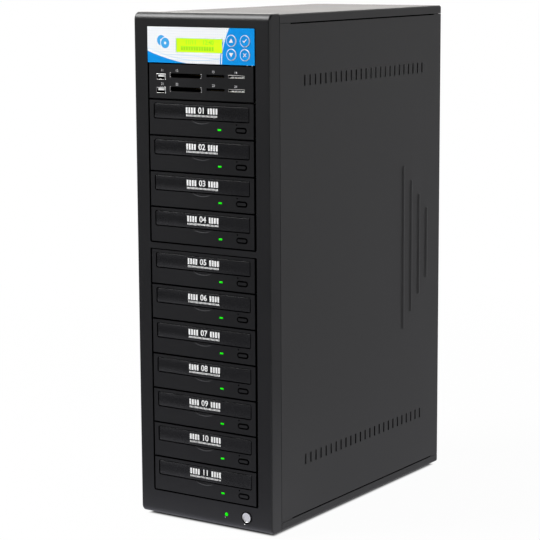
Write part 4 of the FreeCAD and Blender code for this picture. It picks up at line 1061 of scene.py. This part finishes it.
def rows(places_mm, material, count, pitch, width, depth, height):
    """Rows of bars, sizes in mm."""
    return grown(bar_rows, places_mm, material, Count=count, Pitch=pitch * MM, Width=width * MM,
                 Depth=depth * MM, Height=height * MM)


print("bar rows ready")

# %% [markdown]
# ## Display
# The display has two lines. The upper one shows a count and a time, the lower one a bar of blocks
# that grows as a copy runs. The ink sits just in front of the glass and well behind the film.

# %% Characters of the display
LINE_RISE, LINE_H, LINE_BOLD = 3.5, 5.0, 0.2
BLOCK_COUNT, BLOCK_PITCH, BLOCK_W, BLOCK_SHIFT = 13, 3.6, 3.0, 3.0


def box_mm(node):
    """The low and the high corner of a node, in mm."""
    return [tuple(c / MM for c in corner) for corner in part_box(node)]


paint(display_lit, "display_module")
glass_low, glass_high = box_mm("display_module")
glass_x, glass_z = ((glass_low[axis] + glass_high[axis]) / 2 for axis in (0, 2))
glass_y = glass_low[1]
line_1 = number_mesh("11/11    12:40", LINE_H, glass_x, glass_y, glass_z + LINE_RISE, LINE_BOLD)
line_2 = rows([(glass_x - BLOCK_SHIFT, glass_y - INK_MM / 2, glass_z - LINE_RISE)], display_ink,
              BLOCK_COUNT, BLOCK_PITCH, BLOCK_W, INK_MM, LINE_H)
show("display_count", line_1, "case", "display_glass", display_ink)
show("display_blocks", line_2, "case", "display_glass")
print("display", round(glass_high[0] - glass_low[0], 1), "mm wide")

# %% [markdown]
# ## Drive numbers
# Each door carries its number in white between two groups of upright bars, with a fine scale below,
# like the marks on a dial. The bars and the ticks are rows again.

# %% Number the doors
MARK_X, MARK_RISE, MARK_H, MARK_BOLD = 0.8, 10.6, 6.8, 0.16
GROUP_X, BARS, BAR_PITCH, BAR_W = 15.4, 4, 3.7, 2.5
TICKS, TICK_PITCH, TICK_W, TICK_H, TICK_RISE = 24, 1.86, 1.0, 2.2, 4.7
for number, drive in enumerate(DRIVES, start=1):
    low = box_mm(drive + "_tray")[0]
    ink_y = low[1] - INK_MM / 2
    digits = number_mesh("%02d" % number, MARK_H, MARK_X, low[1], low[2] + MARK_RISE, MARK_BOLD)
    groups = rows([(MARK_X + side * GROUP_X, ink_y, low[2] + MARK_RISE) for side in (-1, 1)], white_ink,
                  BARS, BAR_PITCH, BAR_W, INK_MM, MARK_H)
    scale = rows([(MARK_X, ink_y, low[2] + TICK_RISE)], white_ink,
                 TICKS, TICK_PITCH, TICK_W, INK_MM, TICK_H)
    for each in (groups, scale):
        each.materials.clear()
    show(drive + "_number", joined(digits, groups, scale), drive + "_tray", "printed_film", white_ink)
print("doors numbered:", len(DRIVES))

# %% [markdown]
# ## Card reader
# Behind each slot are rows of contacts, and the widest slot has a bright spring clip at each end.
# The port shells are nickel with a pale tongue inside, and the narrow slots on the right have a dull
# metal frame with pale blocks behind it. A number and a pinhole lamp stand over each slot.

# %% Dress the card reader
SLOT_ROWS = (530.6, 515.0)
READER_EDGE, PORT_EDGE = 0.25, 0.12
PORT_X, TONGUE_RISE, TONGUE_T = -56.2, 1.1, 2.4
TONGUE_HALF, TONGUE_SLACK, SHELL_RIM = 4.7, 0.1, 0.4
COMPACT_X, COMPACT_W, COMPACT_RISE = -20.8, 45.0, 1.9
SECURE_X, SECURE_RISE = 21.1, 2.9
STICK_X, STICK_W, STICK_H, STICK_RISE = 50.2, 22.6, 3.4, 2.8
reader_y = box_mm("card_reader_face")[0][1]
port_front = box_mm("usb_ports")[0][1]
tongue_white = ink("tongue_white", (0.90, 0.90, 0.90))
dull_nickel = metal("dull_nickel", (0.48, 0.47, 0.45), roughness=0.35, streak=(1.0, 0.2, 1.0),
                    streak_mm=0.8)


def of_port(face):
    """0 for the rim of a port's shell, 1 for its tongue, 2 for the inside of the shell, a dull black of
    painted shade.
    """
    x, y, z = face.center / MM
    reach = min(abs(z - row - TONGUE_RISE) for row in SLOT_ROWS)
    if abs(x - PORT_X) < TONGUE_HALF and reach < TONGUE_T / 2 + TONGUE_SLACK:
        return 1
    return 2 if y > port_front + SHELL_RIM else 0


# The reader's edges and slot walls, and the inside of each port's shell, get the dull black as painted
# shade.
dress("card_reader_face", READER_EDGE, drive_black, gap_black, choose=off_face)
dress("usb_ports", PORT_EDGE, nickel, tongue_white, gap_black, choose=of_port)
paint(socket_black, "card_sockets")
print("slots in", len(SLOT_ROWS), "rows")

# %% Contacts behind the slots
COMPACT_BACK, COMPACT_GAP = 27.0, 1.0
SECURE_BACK, SECURE_DROP = 9.0, 1.2
STICK_BACK, STICK_DROP = 5.0, 1.35
PORT_BACK = 5.5
compact_places = [(COMPACT_X, reader_y + COMPACT_BACK, row + COMPACT_RISE + dz)
                  for row in SLOT_ROWS for dz in (-COMPACT_GAP, COMPACT_GAP)]
secure_places = [(SECURE_X, reader_y + SECURE_BACK, row + SECURE_RISE - SECURE_DROP) for row in SLOT_ROWS]
stick_places = [(STICK_X, reader_y + STICK_BACK, row + STICK_RISE - STICK_DROP) for row in SLOT_ROWS]
port_places = [(PORT_X, reader_y + PORT_BACK, row + TONGUE_RISE - TONGUE_T / 2) for row in SLOT_ROWS]
contacts = [
    rows(compact_places, gilt, count=25, pitch=1.27, width=0.5, depth=5.0, height=0.5),
    rows(secure_places, gilt, count=9, pitch=2.5, width=1.2, depth=8.0, height=0.3),
    rows(stick_places, gilt, count=10, pitch=2.0, width=1.0, depth=8.0, height=0.3),
    rows(port_places, gilt, count=4, pitch=2.2, width=1.1, depth=8.0, height=0.12),
]
for each in contacts:
    each.materials.clear()
show("card_contacts", joined(*contacts), "case", "port_metal", gilt)
print("contacts:", sum(len(each.polygons) // 6 for each in contacts))

# %% Clips, frames and numbers of the slots
CLIP_HALF, CLIP_W, CLIP_INSET, CLIP_T, CLIP_EDGE = 2.6, 1.0, 0.6, 0.25, 0.08
LIP_REACH, LIP_H = 1.2, 0.5
SHROUD_WALL, SHROUD_T, SHROUD_EDGE = 0.4, 0.3, 0.1
SHUTTER_X, SHUTTER_BACK, SHUTTER_DROP = 1.0, 1.6, 0.6
LABEL_RISE, LABEL_H = 7.4, 2.8
LABEL_X = (PORT_X + 2.0, COMPACT_X - 12.5, SECURE_X - 3.0, STICK_X - 1.0)
LABEL_TENS = (10, 20)
PINHOLE_X, PINHOLE_R, PINHOLE_T = 4.4, 0.5, 0.05


def frame_outlines(x, z, width, height, w):
    """Four bars of a width w round a slot, as outlines."""
    x0, x1, z0, z1 = x - width / 2, x + width / 2, z - height / 2, z + height / 2
    return [[(x0 - w, z0 - w), (x1 + w, z0 - w), (x1 + w, z0), (x0 - w, z0)],
            [(x0 - w, z1), (x1 + w, z1), (x1 + w, z1 + w), (x0 - w, z1 + w)],
            [(x0 - w, z0), (x0, z0), (x0, z1), (x0 - w, z1)],
            [(x1, z0), (x1 + w, z0), (x1 + w, z1), (x1, z1)]]


clips, shrouds = [], []
for row in SLOT_ROWS:
    z = row + COMPACT_RISE
    for side in (-1, 1):
        end = COMPACT_X + side * (COMPACT_W / 2 - CLIP_INSET)
        out, tip = end + side * CLIP_W, end - side * LIP_REACH
        low, high = z - CLIP_HALF, z + CLIP_HALF
        clips.append([(end, low), (out, low), (out, high), (end, high)])
        for lip in (-CLIP_HALF, CLIP_HALF - LIP_H):
            clips.append([(tip, z + lip), (end, z + lip), (end, z + lip + LIP_H), (tip, z + lip + LIP_H)])
    shrouds += frame_outlines(STICK_X, row + STICK_RISE, STICK_W - 2 * SHROUD_WALL,
                              STICK_H - 2 * SHROUD_WALL, SHROUD_WALL)
clip_mesh = softened(plate_mesh(clips, reader_y, CLIP_T), CLIP_EDGE)
show("slot_clips", clip_mesh, "case", "port_metal", nickel)
shroud_mesh = softened(plate_mesh(shrouds, reader_y, SHROUD_T), SHROUD_EDGE)
show("stick_shrouds", shroud_mesh, "case", "port_metal", dull_nickel)
shutter_places = [(STICK_X + SHUTTER_X, reader_y + SHUTTER_BACK, row + STICK_RISE - SHUTTER_DROP)
                  for row in SLOT_ROWS]
shutters = rows(shutter_places, tongue_white, count=4, pitch=4.6, width=2.6, depth=2.0, height=1.0)
show("stick_shutters", shutters, "case", "printed_film")

labels, pinholes = [], []
for tens, row in zip(LABEL_TENS, SLOT_ROWS):
    for number, x in enumerate(LABEL_X, start=tens + 1):
        labels.append(number_mesh(str(number), LABEL_H, x, reader_y, row + LABEL_RISE))
        pinholes.append(disc_outline(x - PINHOLE_X, row + LABEL_RISE, PINHOLE_R))
show("slot_numbers", joined(*labels), "case", "printed_film", grey_ink)
show("slot_lamps", plate_mesh(pinholes, reader_y, PINHOLE_T), "case", "black_plastic", socket_black)
print("slots numbered:", len(labels))

# %% [markdown]
# ## Rear
# The back is guessed: a standard supply, two fans behind stamped grilles and knurled screws for the
# side panels. The hexagon screws and the knurls repeat, so Geometry Nodes place them.


# %% Trees for screws and knurls
ALONG_Y = (math.radians(-90), 0.0, 0.0)


def cylinder(start, sides, radius, depth, lift):
    """A cylinder along +Y whose middle stands at lift."""
    made = start.node("GeometryNodeMeshCylinder", None,
                      {"Vertices": sides, "Radius": radius, "Depth": depth})
    shift = start.node("ShaderNodeCombineXYZ", None, {"Y": lift})
    return start.node("GeometryNodeTransform", None,
                      {"Geometry": made, "Translation": shift, "Rotation": ALONG_Y})


def hex_screws(start, wires):
    """A washer head with a hexagon on it, at each point, facing +Y."""
    radius, height = wires["Radius"], wires["Height"]
    washer = cylinder(start, sides=32, radius=1.3 * radius, depth=0.3 * height, lift=0.15 * height)
    hexagon = cylinder(start, sides=6, radius=radius, depth=0.6 * height, lift=0.6 * height)
    crown = cylinder(start, sides=24, radius=0.82 * radius, depth=0.1 * height, lift=0.95 * height)
    screw = start.node("GeometryNodeJoinGeometry", None, {"Geometry": washer})
    for part in (hexagon, crown):
        screw.tree.links.new(part.socket, screw.socket.node.inputs["Geometry"])
    return start.node("GeometryNodeInstanceOnPoints", None,
                      {"Points": wires["Geometry"], "Instance": screw})


def knurls(start, wires):
    """Ribs round a head at each point, whose axis is Y."""
    size = start.node("ShaderNodeCombineXYZ", None,
                      {"X": wires["Rib"], "Y": wires["Rib"], "Z": wires["Length"]})
    rib = start.node("GeometryNodeMeshCube", None, {"Size": size})
    circle = start.node("GeometryNodeMeshCircle", None,
                        {"Vertices": wires["Count"], "Radius": wires["Radius"]})
    outwards = start.node("FunctionNodeAlignRotationToVector", {"axis": "X"},
                          {"Vector": start.node("GeometryNodeInputPosition")})
    ring = start.node("GeometryNodeInstanceOnPoints", None,
                      {"Points": circle, "Instance": rib, "Rotation": outwards})
    lying = start.node("GeometryNodeTransform", None, {"Geometry": ring, "Rotation": ALONG_Y})
    return start.node("GeometryNodeInstanceOnPoints", None,
                      {"Points": wires["Geometry"], "Instance": lying})


SCREW_INPUTS = {"Radius": "Float", "Height": "Float"}
KNURL_INPUTS = {"Count": "Int", "Radius": "Float", "Rib": "Float", "Length": "Float"}
screw_tree = geometry_tree("hex_screws", SCREW_INPUTS, hex_screws)
knurl_tree = geometry_tree("knurls", KNURL_INPUTS, knurls)
print("trees:", screw_tree.name, knurl_tree.name)

# %% Screws and knurls on the back
FAN_SCREW, FAN_HEIGHTS = 71.5 / 2, (345.0, 165.0)
PSU_SCREW_X, PSU_SCREW_Z = 68.0, 36.0
SCREW_R, SCREW_H = 3.1, 2.6
THUMB_R, THUMB_EDGE, HEAD_MIDDLE = 5.2, 0.5, 2.7
KNURL_COUNT, RIB_W, RIB_L = 36, 0.5, 3.6
rear_y = box_mm("rear_panel")[1][1]
psu_x, _, psu_z = (c / MM for c in middle_of("psu_case"))
screw_places = [(sx * FAN_SCREW, rear_y, fan_z + sz * FAN_SCREW)
                for fan_z in FAN_HEIGHTS for sx in (-1, 1) for sz in (-1, 1)]
screw_places += [(psu_x + sx * PSU_SCREW_X, rear_y, psu_z + sz * PSU_SCREW_Z)
                 for sx in (-1, 1) for sz in (-1, 1)]
rear_screws = grown(screw_tree, screw_places, screw_steel, Radius=SCREW_R * MM, Height=SCREW_H * MM)
show("rear_screws", rear_screws, "case", "screw_metal")

dress("panel_thumbscrews", THUMB_EDGE, screw_steel)
thumb_low, thumb_high = box_mm("panel_thumbscrews")
head_y = thumb_high[1] - HEAD_MIDDLE
knurl_places = [(x, head_y, z) for x in (thumb_low[0] + THUMB_R, thumb_high[0] - THUMB_R)
                for z in (thumb_low[2] + THUMB_R, thumb_high[2] - THUMB_R)]
knurl_ribs = grown(knurl_tree, knurl_places, screw_steel, Count=KNURL_COUNT, Radius=THUMB_R * MM,
                   Rib=RIB_W * MM, Length=RIB_L * MM)
show("thumbscrew_knurls", knurl_ribs, "case", "screw_metal")
print("screws:", len(screw_places), "knurled heads:", len(knurl_places))

# %% [markdown]
# The supply's box is bare zinc, and the inlet's pins are brass, so the faces near a pin's axis get a
# finish of their own. The rocker and the fans are plain black plastic.

# %% Dress the supply and the fans
INLET_X, INLET_Z = -40.0, 568.5
INLET_FLOOR = 2.0
PIN_PLACES = ((-7.0, -2.0), (0.0, 2.0), (7.0, -2.0))
PIN_X, PIN_Z = 1.2, 2.2
INLET_EDGE, ROCKER_EDGE = 0.25, 0.4
inlet_back = box_mm("psu_inlet")[0][1] + INLET_FLOOR


def is_pin(face):
    """1 for the inlet's pins, 0 for its moulding."""
    x, y, z = face.center / MM
    near = any(abs(x - INLET_X - dx) < PIN_X and abs(z - INLET_Z - dz) < PIN_Z for dx, dz in PIN_PLACES)
    return int(near and y > inlet_back)


paint(zinc_sheet, "psu_case")
dress("psu_inlet", INLET_EDGE, socket_black, brass, choose=is_pin)
dress("psu_rocker", ROCKER_EDGE, drive_black)
paint(fan_black, "fan_frames", "upper_fan_rotor", "lower_fan_rotor", "psu_fan_rotor")
print("rear dressed")

# %% [markdown]
# ## Last marks
# Two tiny white marks sit under the power lamp and the power button.

# %% Marks in the sill
SILL_Y, SILL_INK = -199.75, 0.05
LAMP_MARK_X, LAMP_MARK_Z, LAMP_MARK_R = 28.6, 15.6, 0.55
BUTTON_MARK = [(55.4, 10.7), (56.8, 10.7), (56.8, 11.9), (55.4, 11.9)]
marks = [disc_outline(LAMP_MARK_X, LAMP_MARK_Z, LAMP_MARK_R), BUTTON_MARK]
show("sill_marks", plate_mesh(marks, SILL_Y, SILL_INK), "case", "printed_film", white_ink)
print("marks:", len(marks))
